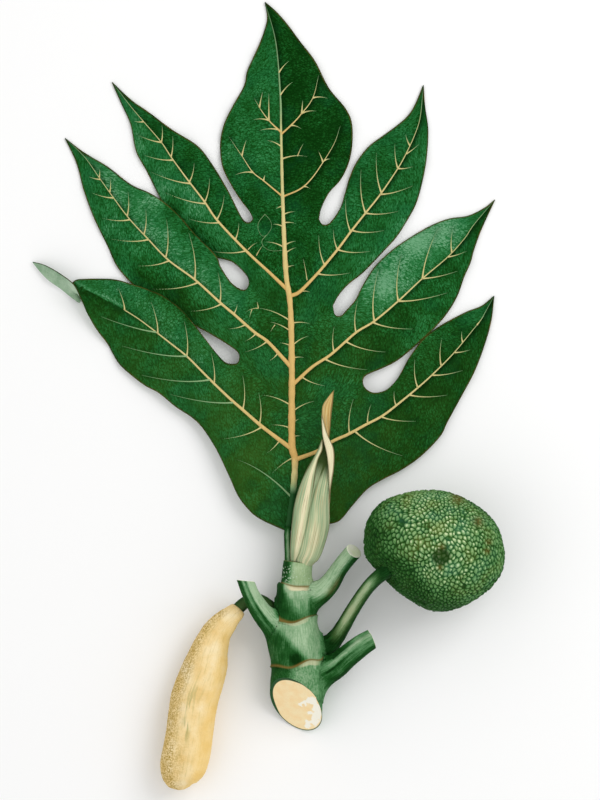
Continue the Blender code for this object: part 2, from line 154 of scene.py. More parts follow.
def shrinking_rings(rim, shares):
    """Rings that close in on a rim's middle, each with this share of the rim's size."""
    centre = rim.mean(axis=0)
    return centre + (rim - centre) * np.asarray(shares)[:, None, None]


def add_piece(name, points, faces, look, slot, replaces=(), **attributes):
    """A mesh that rides on the sprig. Each attribute holds one number for each point."""
    mesh = bpy.data.meshes.new(name)
    faces = faces.tolist() if isinstance(faces, np.ndarray) else faces
    mesh.from_pydata((np.asarray(points).reshape(-1, 3) * MM).tolist(), [], faces)
    for key, values in attributes.items():
        attribute = mesh.attributes.new(key, "FLOAT", "POINT")
        attribute.data.foreach_set("value", np.asarray(values, np.float32).ravel())
    mesh.validate()
    mesh.shade_smooth()
    mesh.materials.append(look)
    piece = bpy.data.objects.new(name, mesh)
    bpy.context.scene.collection.objects.link(piece)
    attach(piece, "root")
    if replaces:
        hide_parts(*replaces)
    return piece


def add_rods(name, rods, look, slot, **attributes):
    """One piece from several closed rods, each given as its rings."""
    faces, count = [], 0
    for rings in rods:
        rows, sides = rings.shape[:2]
        faces += skin_faces(rows, sides, count)
        count += rows * sides
    add_piece(name, np.vstack([rings.reshape(-1, 3) for rings in rods]), faces, look, slot, **attributes)


# Material helpers


class Look:
    """A procedural material, built node by node. Sockets are given as values or as other nodes' outputs."""

    def __init__(self, name, roughness, specular):
        self.material = bpy.data.materials.new(name)
        self.material.use_nodes = True
        self.tree = self.material.node_tree
        self.shader = self.tree.nodes["Principled BSDF"]
        self.shader.inputs["Roughness"].default_value = roughness
        self.shader.inputs["Specular IOR Level"].default_value = specular
        self.place = self.node("ShaderNodeTexCoord").outputs["Object"]

    def node(self, kind, inputs=None, **settings):
        made = self.tree.nodes.new(kind)
        for key, value in settings.items():
            setattr(made, key, value)
        for key, value in (inputs or {}).items():
            if isinstance(value, bpy.types.NodeSocket):
                self.tree.links.new(value, made.inputs[key])
            else:
                made.inputs[key].default_value = value
        return made

    def value(self, name):
        """A number that the mesh carries for each point."""
        return self.node("ShaderNodeAttribute", attribute_name=name).outputs["Fac"]

    def combine(self, x, y):
        return self.node("ShaderNodeCombineXYZ", {"X": x, "Y": y}).outputs[0]

    def noise(self, size, detail=3.0, vector=None):
        """Noise with spots of about this size in metres, or in the vector's own units."""
        inputs = {"Vector": vector or self.place, "Scale": 1 / size, "Detail": detail}
        return self.node("ShaderNodeTexNoise", inputs).outputs["Fac"]

    def cells(self, size, feature="F1", vector=None):
        inputs = {"Vector": vector or self.place, "Scale": 1 / size}
        return self.node("ShaderNodeTexVoronoi", inputs, feature=feature).outputs["Distance"]

    def math(self, operation, first, second, clamp=False):
        inputs = {0: first, 1: second}
        return self.node("ShaderNodeMath", inputs, operation=operation, use_clamp=clamp).outputs[0]

    def times(self, first, second, clamp=False):
        return self.math("MULTIPLY", first, second, clamp)

    def add(self, *values, clamp=False):
        """The sum of all the values."""
        total = values[0]
        for value in values[1:-1]:
            total = self.math("ADD", total, value)
        return self.math("ADD", total, values[-1], clamp)

    def steps(self, value, low, high, to_low=0.0, to_high=1.0):
        """The value moved from one range to another, and held inside it."""
        inputs = {"Value": value, "From Min": low, "From Max": high, "To Min": to_low, "To Max": to_high}
        return self.node("ShaderNodeMapRange", inputs).outputs["Result"]

    def sway(self, noise, reach):
        """Noise as a number between -reach and reach."""
        return self.steps(noise, 0.3, 0.7, -reach, reach)

    def grain(self, across, along, detail=3.0):
        """Streaks over the surface, this fine across and along the grain that the mesh carries."""
        x, y = self.times(self.value("grain_x"), across), self.times(self.value("grain_y"), along)
        return self.noise(1.0, detail, self.combine(x, y))

    def ramp(self, value, *stops):
        """A colour for the value, between stops given as (value, colour)."""
        made = self.node("ShaderNodeValToRGB", {"Fac": value})
        elements = made.color_ramp.elements
        while len(elements) < len(stops):
            elements.new(1.0)
        for element, (position, colour) in zip(elements, stops):
            element.position = position
            element.color = (*colour, 1.0)
        return made.outputs["Color"]

    def mix(self, share, first, second):
        """The first colour, moved towards the second one by this share."""
        made = self.node("ShaderNodeMix", data_type="RGBA")
        for index, value in ((0, share), (6, first), (7, second)):
            if isinstance(value, bpy.types.NodeSocket):
                self.tree.links.new(value, made.inputs[index])
            else:
                made.inputs[index].default_value = (*value, 1.0) if index else value
        return made.outputs[2]

    def tint(self, share, base, colour):
        """The base colour, moved at most halfway towards another one."""
        return self.mix(share, base, self.mix(0.5, base, colour))

    def colour(self, value):
        self.tree.links.new(value, self.shader.inputs["Base Color"])

    def roughness(self, value):
        self.tree.links.new(value, self.shader.inputs["Roughness"])

    def bump(self, height, distance, strength):
        """Relief finer than the mesh. Distance is its depth in metres."""
        bump = self.node("ShaderNodeBump", {"Height": height, "Distance": distance, "Strength": strength})
        self.tree.links.new(bump.outputs["Normal"], self.shader.inputs["Normal"])


# The leaf

BLADE_HALF = 0.5  # half the blade's thickness
BLADE_HEIGHT = 12.5  # how far the blade's foot is held up by its stalk
BLADE_FOOT = (12.0, -88.5)
BLADE_FALL = (95.0, 190.0)  # how far across and along the blade it takes to come down
BLADE_ROWS = 120  # rows of a patch along its lobe's vein
JOIN_ROWS = 24  # those of them that end on the web to the next lobe
TIP_ROWS = 24  # added for the turned tip
FOOT_SPACING = 1.15  # between the patches' columns, along the midrib
TOP_FORK = 97.5  # how far up the midrib the top lobe begins
DOME = 0.055  # how high each half of a lobe swells between vein and margin, as a share of its width
WAVES = (0.9, 0.4)  # how high the margin waves, in long and in short waves
VEIN_SINK = 0.75  # how far the blade sinks along its veins
FOLD_HEIGHT = 0.5
UNDERSIDE_DROP = 0.45
MARGIN_RADIUS = 0.24
MARGIN_POINTS = 180

# Points are (x, y) or (x, y, lift above the blade's general height)
MIDRIB = [
    (12, -89.5), (13, -84.5), (16, -61), (17, -42), (15, -30), (15, 19.5), (14, 57.5), (11, 81.5), (9, 129),
    (8, 171), (7.5, 194.5), (4.5, 229.5), (-2.5, 255.5),
]
TOP_MARGINS = {
    "upper": [
        (-10.3, 114.4), (-11.1, 117), (-13.3, 120.6), (-18, 126.6), (-24, 136), (-30, 148.5),
        (-31.5, 163.5), (-29, 176), (-23.5, 187.5), (-16, 201), (-14, 210.5), (-9.5, 220.5), (-4.5, 232),
        (-1, 244.5), (-2.5, 255.5),
    ],
    "lower": [
        (32.5, 114.5), (34, 121.5), (39, 131.5), (46.5, 140), (51.5, 150), (54, 161.5), (54, 176),
        (50, 186), (39, 199.5), (30, 217), (20.5, 229.5), (12, 241), (4.5, 249.5), (-2.5, 255.5),
    ],
}
# A join is how far up the midrib the blade's web to the next lobe begins. Lobes without one end at the foot
SIDE_LOBES = {
    "left_1": {
        "vein": [
            (11, 69.5), (-0.5, 80.5), (-14, 93), (-33, 113), (-42, 126), (-52, 139), (-63, 154),
            (-70, 164.5), (-82, 178.5), (-90, 188), (-102, 203.5),
        ],
        "upper": [
            (-10.3, 114.4), (-11.4, 112.7), (-13.8, 112), (-16.8, 114), (-20, 119.5), (-27, 133.6),
            (-37, 150), (-46.5, 162), (-63, 172.5), (-78.7, 184.2), (-89.6, 191.8), (-102, 203.5),
        ],
        "upper_join": 97.5,
        "lower": [
            (-12.8, 72.2), (-13, 75, -0.5), (-15.2, 79, -1), (-23.5, 86.5, -1.5), (-34.5, 90, -2.2),
            (-44.5, 97, -2.6), (-56.5, 108, -2.4), (-65.5, 118.5, -1.5), (-79, 145), (-86.2, 158.5),
            (-89.8, 176), (-96, 190), (-102, 203.5),
        ],
        "lower_join": 45.5,
    },
    "left_2": {
        "vein": [
            (11, 22), (-0.5, 34.5), (-9.5, 41), (-22, 52), (-31.5, 60), (-48, 75), (-65.5, 88), (-79, 102),
            (-91, 115), (-101.5, 129), (-110, 141), (-120, 155), (-132.5, 167),
        ],
        "upper": [
            (-12.8, 72.2), (-13.6, 69.8), (-15.6, 68.2), (-19.5, 69.2, 0.5), (-25, 73.5, 1),
            (-31.5, 83.5, 1.6), (-33, 88, 2), (-37, 93.5, 2.4), (-50.5, 107.5, 3), (-59, 117.5, 2.6),
            (-69, 126, 1.5), (-78, 131.5, 0.8), (-90, 137), (-105, 148.5), (-120, 157.5), (-132.5, 167),
        ],
        "upper_join": 45.5,
        "lower": [
            (-18.9, 24), (-19.2, 26.4, -0.3), (-21, 29, -0.6), (-29, 34.5, -1.2), (-40, 41, -1.7),
            (-49.5, 46, -2), (-61, 52.5, -2.2), (-74, 60.5, -2), (-83, 66.5, -1.4), (-89, 72.5, -1),
            (-98.5, 83.5, -0.4), (-105, 97.5), (-113.5, 115), (-120, 132.5), (-125, 151), (-132.5, 167),
        ],
        "lower_join": -6.5,
    },
    "left_3": {
        "vein": [
            (13, -33.5), (3.5, -26.5), (-5.5, -19.5), (-17, -9.5), (-25, -2.5), (-35, 7), (-44, 16),
            (-53, 25), (-63, 33), (-82.5, 48), (-94, 55.5), (-105, 63, 0.5), (-118, 68, 3.5),
        ],
        "upper": [
            (-18.9, 24), (-19.5, 21.8), (-21.6, 20.2), (-28, 21, 0.6), (-34.5, 27.5, 1.2), (-43, 38.5, 2),
            (-55, 53.5, 2.4), (-66.5, 63, 2.4), (-78, 68.5, 2.2), (-89, 72, 1.6), (-100, 75, 0.6),
            (-112.5, 75.5), (-123.5, 75.2),
        ],
        "upper_join": -6.5,
        "lower": [
            (12, -88.5), (4, -85), (-4.5, -81), (-11.5, -76), (-19.5, -66), (-25, -54), (-31.5, -40),
            (-37, -30), (-44, -20), (-50.5, -14), (-60.5, -7.5), (-71.5, 1.5), (-81.5, 7), (-95.5, 18.5),
            (-101, 26.5), (-104.5, 33), (-112, 43, 2.5), (-117.7, 53, 6), (-119.5, 57.5, 8),
        ],
        "lower_join": None,
    },
    "right_1": {
        "vein": [
            (14.5, 64.5), (20.5, 67.5), (32.5, 80), (45, 95), (53.5, 106.5), (63, 118.5), (72.5, 130.5),
            (84, 147.5), (90, 158.5), (95, 169.5), (98.5, 181), (100.5, 201.5),
        ],
        "upper": [
            (32.5, 114.5), (34.5, 111), (38.5, 111), (42.5, 115), (47, 122.5), (50, 132.5), (53, 142.5),
            (57.5, 152), (65, 161.5), (73.5, 168), (82.5, 174.5), (90, 181), (95, 188.5), (100.5, 201.5),
        ],
        "upper_join": 97.5,
        "lower": [
            (41.5, 58), (45, 64.5), (51.5, 72), (61.5, 80), (74.8, 93.9), (82.9, 102.8), (89.6, 113.2),
            (95.7, 124.6), (100, 140), (102.6, 155), (103.5, 172.5), (101.5, 187.5), (100.5, 201.5),
        ],
        "lower_join": 36,
    },
    "right_2": {
        "vein": [
            (17.5, 8.5), (28.5, 18.5), (40.5, 26.5), (56.5, 40.5), (68.5, 48), (84, 61), (99.5, 75.5),
            (116, 89.5), (127, 101.5), (133.5, 111), (147, 127),
        ],
        "upper": [
            (41.5, 58), (43, 52), (47, 51.5), (50, 54.5), (56.5, 62), (61, 71), (68.8, 83.2), (79.3, 93.5),
            (90.3, 101.3), (104.4, 109.6), (116.8, 114.5), (129.5, 116.5), (140, 121.5), (147, 127),
        ],
        "upper_join": 36,
        "lower": [
            (61, 8), (61.3, 10.8), (64, 13.5), (73.5, 17.5), (82.5, 22), (91, 28.5), (99.5, 36),
            (107.5, 43.5), (116, 53.5), (122.5, 64.5), (127, 77), (131, 86), (133.5, 95), (138.5, 108.5),
            (147, 127),
        ],
        "lower_join": -16,
    },
    "right_3": {
        "vein": [
            (18.5, -41.5), (31.5, -36.5), (41.5, -30), (51.5, -25.5), (62.5, -19.5), (73, -14), (82.5, -7),
            (96.5, 4.5), (106, 13), (119.5, 26.5), (132, 41.5), (138.5, 50), (146.5, 64.5),
        ],
        "upper": [
            (61, 8), (62.2, 5), (66, 2), (71, 1.5), (77.5, 4), (84, 11), (90, 22), (95, 29.5), (101, 37),
            (110, 44), (119.5, 49.5), (129.5, 54.5), (138.5, 58), (146.5, 64.5),
        ],
        "upper_join": -16,
        "lower": [
            (12, -88.5), (27, -85.5), (40, -83.5), (46.5, -81), (54, -72), (64, -61), (73.5, -55),
            (87, -48), (99.5, -39), (111.5, -26.5), (116, -17.5), (125, -1), (133.5, 15), (140, 32),
            (144.5, 48), (146.5, 64.5),
        ],
        "lower_join": None,
    },
}
TURNED_TIP = {
    "vein": [
        (-118, 68, 3.5), (-124.3, 66.3, 5), (-129.5, 70, 5), (-137, 75, 4.5), (-145.5, 81, 3.5),
        (-153.5, 86.5, 1),
    ],
    "upper": [
        (-123.5, 75.2), (-127.5, 73.5), (-126, 68.5), (-122.5, 62), (-122.8, 59.8, 0.3), (-127.5, 63, 1.2),
        (-135, 69, 2), (-143.5, 75, 2.5), (-150, 82, 1.5), (-153.5, 86.5, 1),
    ],
    "lower": [
        (-119.5, 57.5, 8), (-122, 63, 10), (-125, 69.5, 11.5), (-128.5, 73.7, 11), (-137.5, 80, 8.5),
        (-146, 84.5, 5), (-153.5, 86.5, 1),
    ],
}

# Side veins as (root x, root y, end x, end y)
SIDE_VEINS = {
    "left_1": [
        (-70, 164.5, -69.5, 175.5), (-62.5, 155, -62.5, 168.5), (-52, 139, -48.5, 151),
        (-42, 126, -38.5, 141), (-33, 114.5, -29, 130), (-20.5, 101.5, -19.5, 112),
        (-81.5, 177.5, -87.5, 178), (-70, 164, -85, 169), (-63, 151.5, -81, 156), (-52, 137, -76.5, 145),
        (-43, 123.5, -67, 131.5), (-33.5, 111, -52, 114.5), (-15.5, 92.5, -37, 93.5),
    ],
    "left_2": [
        (-110, 142, -110, 147), (-101.5, 132.5, -103, 141), (-90, 117.5, -91.5, 132),
        (-79, 105.5, -80, 120.5), (-65.5, 91.5, -66.5, 114), (-48.5, 75.5, -52, 105.5),
        (-31, 60.5, -33, 79.5), (-22, 53.5, -20.5, 59), (-110, 140, -117, 142), (-101.5, 128, -115, 131.5),
        (-90, 114, -108.5, 115), (-79, 99.5, -102.5, 101.5), (-65, 86.5, -85.5, 84),
        (-46.5, 71.5, -75.5, 69), (-31.5, 58, -52, 54.5), (-16, 45.5, -26.5, 43), (-9.5, 38.5, -15.5, 35),
        (-3, 33, -15.5, 28), (4.5, 26.5, 0, 22),
    ],
    "left_3": [
        (-93.5, 55.5, -98, 69.5), (-71.5, 41, -76.5, 60.5), (-53, 25.5, -55, 48), (-34.5, 8, -37.5, 27.5),
        (-16, -9, -17, 13), (-5.5, -19, -6.5, 1.5), (-72.5, 41.5, -109, 51), (-55, 23.5, -95.5, 32),
        (-39, 9, -82.5, 13), (-23.5, -6.5, -64, 0.5), (-5, -22, -30.5, -28.5), (4.5, -32, -1, -37.5),
    ],
    "right_1": [
        (90.5, 162.5, 89, 169.5), (83.5, 147.5, 82, 163.5), (72.5, 131.5, 70, 157.5),
        (62.5, 119, 60, 146.5), (53, 107, 50, 127.5), (43.5, 95, 42, 107.5), (35, 85, 32.5, 104),
        (89, 157.5, 97.5, 163), (84.5, 146.5, 93.5, 148.5), (73, 130, 93.5, 136), (64, 117.5, 84, 119.5),
        (54, 106.5, 75, 107), (45, 94.5, 66, 93.5), (31.5, 79.5, 53, 79.5),
    ],
    "right_2": [
        (118.5, 93.5, 119.5, 107.5), (99.5, 75.5, 110, 108.5), (84, 61, 86, 90.5), (67.5, 49, 71.5, 82),
        (56.5, 40.5, 58, 62), (41.5, 28.5, 42.5, 44.5), (116, 90, 128.5, 93.5), (101, 75, 122.5, 80.5),
        (84.5, 60.5, 116, 66.5), (69, 46, 93.5, 43), (51.5, 33, 76, 28), (38, 22, 64, 16.5),
        (23, 10.5, 36.5, 6),
    ],
    "right_3": [
        (136, 44.5, 140, 51.5), (126, 34, 125.5, 41.5), (112, 19, 112.5, 37), (96.5, 5.5, 95, 23.5),
        (82.5, -6, 81.5, 2.5), (64, -17.5, 66.5, -6), (51.5, -23.5, 55, -2.5), (121, 27.5, 131, 29.5),
        (106.5, 12.5, 126, 16), (92, -1, 116, 0), (73.5, -15, 95.5, -17), (57.5, -25.5, 87, -39.5),
    ],
    "top": [
        (-17, 156, -14.5, 166), (-10.5, 145, -22, 143), (-3, 139.5, -2.5, 143), (0.5, 179, 0, 196),
        (-5.5, 187.5, -4, 197), (-0.5, 178, -10, 179), (4.5, 171, -6, 172), (14.1, 176, 21.2, 173.1),
        (21.5, 182.7, 30.8, 184.6), (21.5, 182.7, 22.1, 191.6), (28.9, 193.3, 38.2, 192.9),
        (34.5, 151.3, 32.1, 158.7), (36, 153, 40, 153.5), (22, 135.5, 27, 134),
    ],
    "midrib": [
        (12, 48, -7, 56.5), (11, 40.5, 1, 47.5), (12, 31.5, 6.5, 34), (12, -7, -4.5, 0),
        (12, -22, 1.5, -19.5), (13, -41, 2.5, -50.5), (13, -67, -20.5, -42), (10, 95.5, -2.5, 99.5),
        (9.5, 122, 4.5, 121), (8, 161, -1, 165.5), (17.5, 32, 20.5, 36), (17.5, -11, 29.5, -4),
        (17.5, -19, 19.5, -15.5), (17.5, -27, 20.5, -26.5), (7.5, 209.5, 13, 217), (8, 194.5, 15.5, 203.5),
        (9, 153, 25, 155), (10.5, 97.5, 17.5, 100), (11, 111.5, 17.7, 111.5), (10.5, 117.7, 17.2, 119.2),
        (10, 109.9, 2.7, 111), (12.5, 82.4, 16.6, 84.3), (12, 91.8, 17.7, 95.9), (15.5, 32.2, 25.9, 38.4),
        (15.5, 46.2, 26.8, 46.3), (15.5, 23.9, 22.8, 24.4),
    ],
    "twig": [
        (-13.4, 94.6, -7.4, 99.2), (-8, 90.7, -3.6, 97.4), (-6.8, 56.4, -7.6, 60.7),
        (-6.8, 56.4, -14.8, 54.2), (-10.9, 55.6, -12.5, 50.4), (4.1, 45.6, 1.2, 41.2),
        (24.9, 74.7, 22.3, 88.7), (21.8, 67.4, 26.8, 66.9), (18.7, 155.3, 22.5, 163.3),
    ],
}
TOP_VEINS = [
    [(7.9, 171), (1, 177.5), (-4.5, 184.5), (-9.5, 193)],
    [(8, 169.5), (14.5, 175.5), (20.5, 182), (28.5, 193), (32.5, 208)],
    [(9, 129), (-3, 139), (-10.5, 145), (-17.5, 155.5), (-26, 168)],
    [(9.2, 129), (20.5, 134), (28, 141), (35, 151), (42.5, 163.5), (46.5, 175)],
]
CURLS = [
    [
        (-2.3, 117.7), (-6.2, 113), (-7, 108.4), (-4.7, 103.7), (-1.6, 103.9), (1.6, 108.4), (1.2, 113),
        (-2.1, 117.2),
    ],
    [(-1.6, 103.9), (-4.5, 100), (-2.8, 96), (2, 93.8), (8.5, 94)],
]
VEIN_HALF_WIDTHS = {"left_3": 1.7, "right_3": 1.6, "left_2": 1.5}
OTHER_HALF_WIDTH = 1.35
HIDDEN_POINTS = 23  # at the end of the lowest left lobe's vein, which its turned tip hides
ROOT_REACH = 4.5  # how near a main vein a side vein's root must be to start on it
VEIN_BEND = 0.16  # of a side vein, as a share of its length
# The midrib at each y: its half width, and its age from 0, young and green, to 1, old and brown
MIDRIB_WIDTHS = [(-89, 2.1), (-60, 2.1), (-30, 2.4), (80, 1.75), (171, 0.8), (225, 0.4), (256, 0.15)]
MIDRIB_AGES = [(-89, 0), (-64, 0), (-50, 0.6), (-40, 1), (60, 0.9), (130, 0.5), (171, 0.35), (185, 0.16),
               (250, 0.06)]
# The age of the other veins at these shares of their length
AGE_SHARES = (0, 0.5, 0.8, 1)
VEIN_AGES = {
    "main": (1.0, 0.62, 0.35, 0.04), "folded": (1.0, 0.7, 0.5, 0.4), "side": (0.56, 0.33, 0.2, 0.08),
    "young": (0.16, 0.14, 0.12, 0.08), "curl": (0.16, 0.1, 0.1, 0.16),
}
FOLD = [(-93.8, 55.6), (-127.9, 73.2)]  # crease from the end of the lowest left lobe's vein to its tip

# How light each half of a lobe is, from 0, its darkest green, to 1. This is painted light and shade: one half
# of a lobe painted lit, the other shaded
COMMON_TONE = 0.27
HALF_TONES = {
    "top": (0.42, 0.08), "left_1": (0.32, 0.56), "left_2": (0.70, 0.46), "left_3": (0.52, 0.34),
    "right_1": (0.38, 0.44), "right_2": (0.55, 0.36), "right_3": (0.26, 0.16),
}
# Painted light and shade as (x, y, radius, strength): a painted sheen where the strength is above 0, and
# painted shadows beside the edges of overlapping lobes where it is below 0
PAINTED_SHEEN_AND_SHADOWS = [
    (76, 72, 13, 0.55), (97, 99, 12, 0.5), (114, 108, 12, 0.35), (-46, 124, 9, 0.15), (-62, 119, 8, -0.3),
    (-51, 106, 9, -0.35), (-40, 94, 10, -0.3), (-28, 83, 8, -0.2), (-82, 76, 7, -0.3), (-71, 70, 8, -0.35),
    (-60, 62, 9, -0.35), (-49, 52, 8, -0.3), (68, 30, 14, -0.2), (88, 50, 10, -0.15),
]


def blade_height(points):
    """The general height of the blade's middle surface above the floor."""
    across = (points[:, 0] - BLADE_FOOT[0]) / BLADE_FALL[0]
    along = (points[:, 1] - BLADE_FOOT[1]) / BLADE_FALL[1]
    return BLADE_HALF + BLADE_HEIGHT * np.exp(-across ** 2 - along ** 2)


def on_blade(points):
    """(x, y) or (x, y, lift) points as places on the blade."""
    full = np.array([(*point, 0.0)[:3] for point in points])
    full[:, 2] = np.maximum(blade_height(full) + full[:, 2], BLADE_HALF)
    return full


class Blade:
    """The blade's surface: a patch for each half of each lobe, whose shared edges hold the same points."""

    def __init__(self):
        self.midrib = smooth_curve(on_blade(MIDRIB), 600)
        self.stops = self.foot_stops()
        self.points, self.faces, self.index, self.carried, self.margins = [], [], {}, [], []
        self.add_top_lobe()
        for name in SIDE_LOBES:
            self.add_side_lobe(name)

    def midrib_at(self, y):
        return np.stack([np.interp(y, self.midrib[:, 1], values) for values in self.midrib.T], axis=-1)

    @staticmethod
    def foot_stops():
        """How far up the midrib the patches' rows begin, so that neighbouring patches share them."""
        knots = {BLADE_FOOT[1], TOP_FORK}
        for lobe in SIDE_LOBES.values():
            knots |= {lobe["vein"][0][1], lobe["upper_join"], lobe["lower_join"]} - {None}
        knots = sorted(knots)
        stops = []
        for low, high in zip(knots, knots[1:]):
            count = max(1, round((high - low) / FOOT_SPACING))
            stops += np.linspace(low, high, count, endpoint=False).tolist()
        return np.array(stops + knots[-1:])

    def foot(self, start, end):
        """The midrib's points from one stop to another."""
        low, high = sorted((start, end))
        ys = self.stops[(self.stops > low - 1e-6) & (self.stops < high + 1e-6)]
        return self.midrib_at(ys if start < end else ys[::-1])

    def web(self, join, end):
        """The line across the blade from the midrib to where two lobes part."""
        return np.linspace(self.midrib_at(join), end, JOIN_ROWS + 1)

    def add_top_lobe(self):
        vein = self.midrib_at(np.linspace(TOP_FORK, MIDRIB[-1][1], BLADE_ROWS + 1))
        for number, side in enumerate(("upper", "lower")):
            edge = smooth_curve(on_blade(TOP_MARGINS[side]), BLADE_ROWS + 1)
            self.margins.append(edge)
            self.add_half("top", number, vein, edge, self.web(TOP_FORK, edge[0]), 0)

    def add_side_lobe(self, name):
        lobe = SIDE_LOBES[name]
        start = lobe["vein"][0][1]
        vein = smooth_curve(on_blade(lobe["vein"]), BLADE_ROWS + 1)
        vein[0] = self.midrib_at(start)
        if name == "left_3":
            vein = np.vstack([vein[:-1], smooth_curve(on_blade(TURNED_TIP["vein"]), TIP_ROWS + 1)])
        for number, side in enumerate(("upper", "lower")):
            edge = smooth_curve(on_blade(lobe[side]), 400)
            join = lobe[f"{side}_join"]
            joined = 0 if join is None else JOIN_ROWS
            if joined:
                web = self.web(join, edge[0])
                edge = np.vstack([web[:-1], sample(edge, np.linspace(0, 1, BLADE_ROWS + 1 - joined))])
            else:
                join = BLADE_FOOT[1]
                edge[0] = self.midrib_at(join)
                edge = sample(edge, np.linspace(0, 1, BLADE_ROWS + 1))
            if name == "left_3":
                edge = np.vstack([edge[:-1], smooth_curve(on_blade(TURNED_TIP[side]), TIP_ROWS + 1)])
            self.margins.append(edge[joined:])
            self.add_half(name, number, vein, edge, self.foot(start, join), joined)

    def add_half(self, name, number, vein, edge, foot, joined):
        """The patch between a vein and an edge, whose first points are the foot's. The first rows, as many as
        joined says, end on the web to the next lobe instead of on the margin."""
        rows, columns = len(vein), len(foot)
        row = np.arange(rows)[:, None]
        share = np.linspace(0, 1, rows)[:, None]
        across = np.linspace(0, 1, columns)[None, :]
        grid = vein[:, None] * (1 - across[..., None]) + edge[:, None] * across[..., None]
        straight = foot[0] * (1 - across[0][:, None]) + foot[-1] * across[0][:, None]
        grid = grid + (foot - straight)[None] * np.clip(1 - share / 0.3, 0, 1)[..., None]
        width = np.linalg.norm(edge - vein, axis=1)[:, None]
        calm = 1 - ease((share - 0.72) / 0.1) if name == "left_3" else 1.0
        swell = ease(share / 0.12) * ease((1 - share) / 0.25) * calm
        grid[..., 2] += DOME * width * 4 * across * (1 - across) * swell
        opened = ease((row - joined) / (0.12 * rows)) * ease((1 - share) / 0.15)
        wave = WAVES[0] * np.sin(share * 23 + number * 2 + len(name)) + WAVES[1] * np.sin(share * 51 + number)
        grid[..., 2] += wave * across ** 3 * opened * calm
        grid[..., 2] = np.maximum(grid[..., 2], BLADE_HALF)
        # The painted light and shade of this half of the lobe
        tone = COMMON_TONE + (HALF_TONES[name][number] - COMMON_TONE) * ease((share - 0.02) / 0.35)
        edge_mm = (1 - across) * np.maximum(width, 0.01) + np.where(row >= joined, 0, 50)
        flow = share * 190 + 40 * across ** 1.5
        carried = np.broadcast_arrays(tone, edge_mm, flow[:, :1] + flow, across * width + 90 * number)
        carried = np.stack(carried, axis=-1).reshape(-1, 4)
        numbers = np.array([self.add_point(*pair) for pair in zip(grid.reshape(-1, 3), carried)])
        turned = self.turned(grid)
        for quad in numbers[grid_faces(rows, columns)].tolist():
            face = list(dict.fromkeys(quad))
            if len(face) > 2:
                self.faces.append(face[::-1] if turned else face)

    @staticmethod
    def turned(grid):
        """Whether this patch's faces would look down."""
        middle, ahead = grid[len(grid) // 3], grid[len(grid) // 3 + 1]
        return np.cross(middle[-1] - middle[0], ahead[0] - middle[0])[2] < 0

    def add_point(self, point, carried):
        """The number of this point, which is added unless a patch already holds it."""
        key = tuple(np.round(point, 3))
        if key not in self.index:
            self.index[key] = len(self.points)
            self.points.append(key)
            self.carried.append(carried)
        return self.index[key]


def vein_lines():
    """Every vein of the leaf as (points in x and y, half width at its root, half width at its tip, kind)."""
    midrib = smooth_curve(MIDRIB, 260)
    lines = [(midrib, None, None, "midrib")]
    parents = {"midrib": midrib}
    for name, lobe in SIDE_LOBES.items():
        parents[name] = line = rooted(smooth_curve([point[:2] for point in lobe["vein"]], 140), midrib)
        if name == "left_3":
            lines.append((line[:-HIDDEN_POINTS], VEIN_HALF_WIDTHS[name], 0.4, "folded"))
        else:
            lines.append((line, VEIN_HALF_WIDTHS.get(name, OTHER_HALF_WIDTH), 0.14, "main"))
    top = [rooted(smooth_curve(points, 50), midrib) for points in TOP_VEINS]
    parents["top"] = np.vstack(top)
    lines += [(line, 0.62, 0.12, "main") for line in top]
    lines += [(smooth_curve(points, 60), 0.14, 0.12, "curl") for points in CURLS]
    for name, veins in SIDE_VEINS.items():
        for vein in veins:
            root, end = np.array(vein[:2], float), np.array(vein[2:], float)
            length = np.linalg.norm(end - root)
            if name in parents:
                gaps = np.linalg.norm(parents[name] - root, axis=1)
                root = parents[name][np.argmin(gaps)] if gaps.min() < ROOT_REACH else root
            away = vein_direction(name, root) if name in SIDE_LOBES else np.array([0.0, -1.0])
            bend = (root + end) / 2 - away * length * VEIN_BEND
            t = np.linspace(0, 1, max(14, int(length / 1.2)))[:, None]
            line = root * (1 - t) ** 2 + 2 * bend * t * (1 - t) + end * t ** 2
            young = length > 40 or (name == "left_3" and end[0] < -60 and length > 30)
            half_width = 0.26 if name == "twig" else 0.42 + 0.005 * length
            lines.append((line, half_width, 0.1, "young" if young else "side"))
    return lines


def rooted(line, midrib):
    """The line led back at its root until it meets the midrib."""
    behind = line[0] - unit(line[2] - line[0]) * np.linspace(0.5, 9, 18)[:, None]
    gap = np.linalg.norm(behind[:, None] - midrib[None], axis=2).min(axis=1)
    return np.vstack([behind[:int(np.argmin(gap)) + 1][::-1], line])


def vein_direction(name, root):
    """The way towards the tip along a lobe's vein, at the point of it nearest to this root."""
    line = smooth_curve([point[:2] for point in SIDE_LOBES[name]["vein"]], 90)
    near = min(int(np.argmin(np.linalg.norm(line - root, axis=1))), len(line) - 2)
    return unit(line[near + 1] - line[near])


def nearest(points, targets):
    """For each point, seen from above, the number of the nearest target and how far away it is."""
    tree = search_tree(targets)
    found = [tree.find((x, y, 0)) for x, y in points[:, :2]]
    return np.array([number for _, number, _ in found]), np.array([distance for *_, distance in found])


def shaded_side(points, targets):
    """How deep each point lies in the painted shadow, a dark line along one side of the main veins."""
    number, distance = nearest(points, targets)
    away = points[:, :2] - targets[number]
    side = np.clip(away @ (0.86, -0.5) / np.maximum(distance, 1e-6), 0, 1)
    return 0.95 * side * band(distance, 0, 2.6)


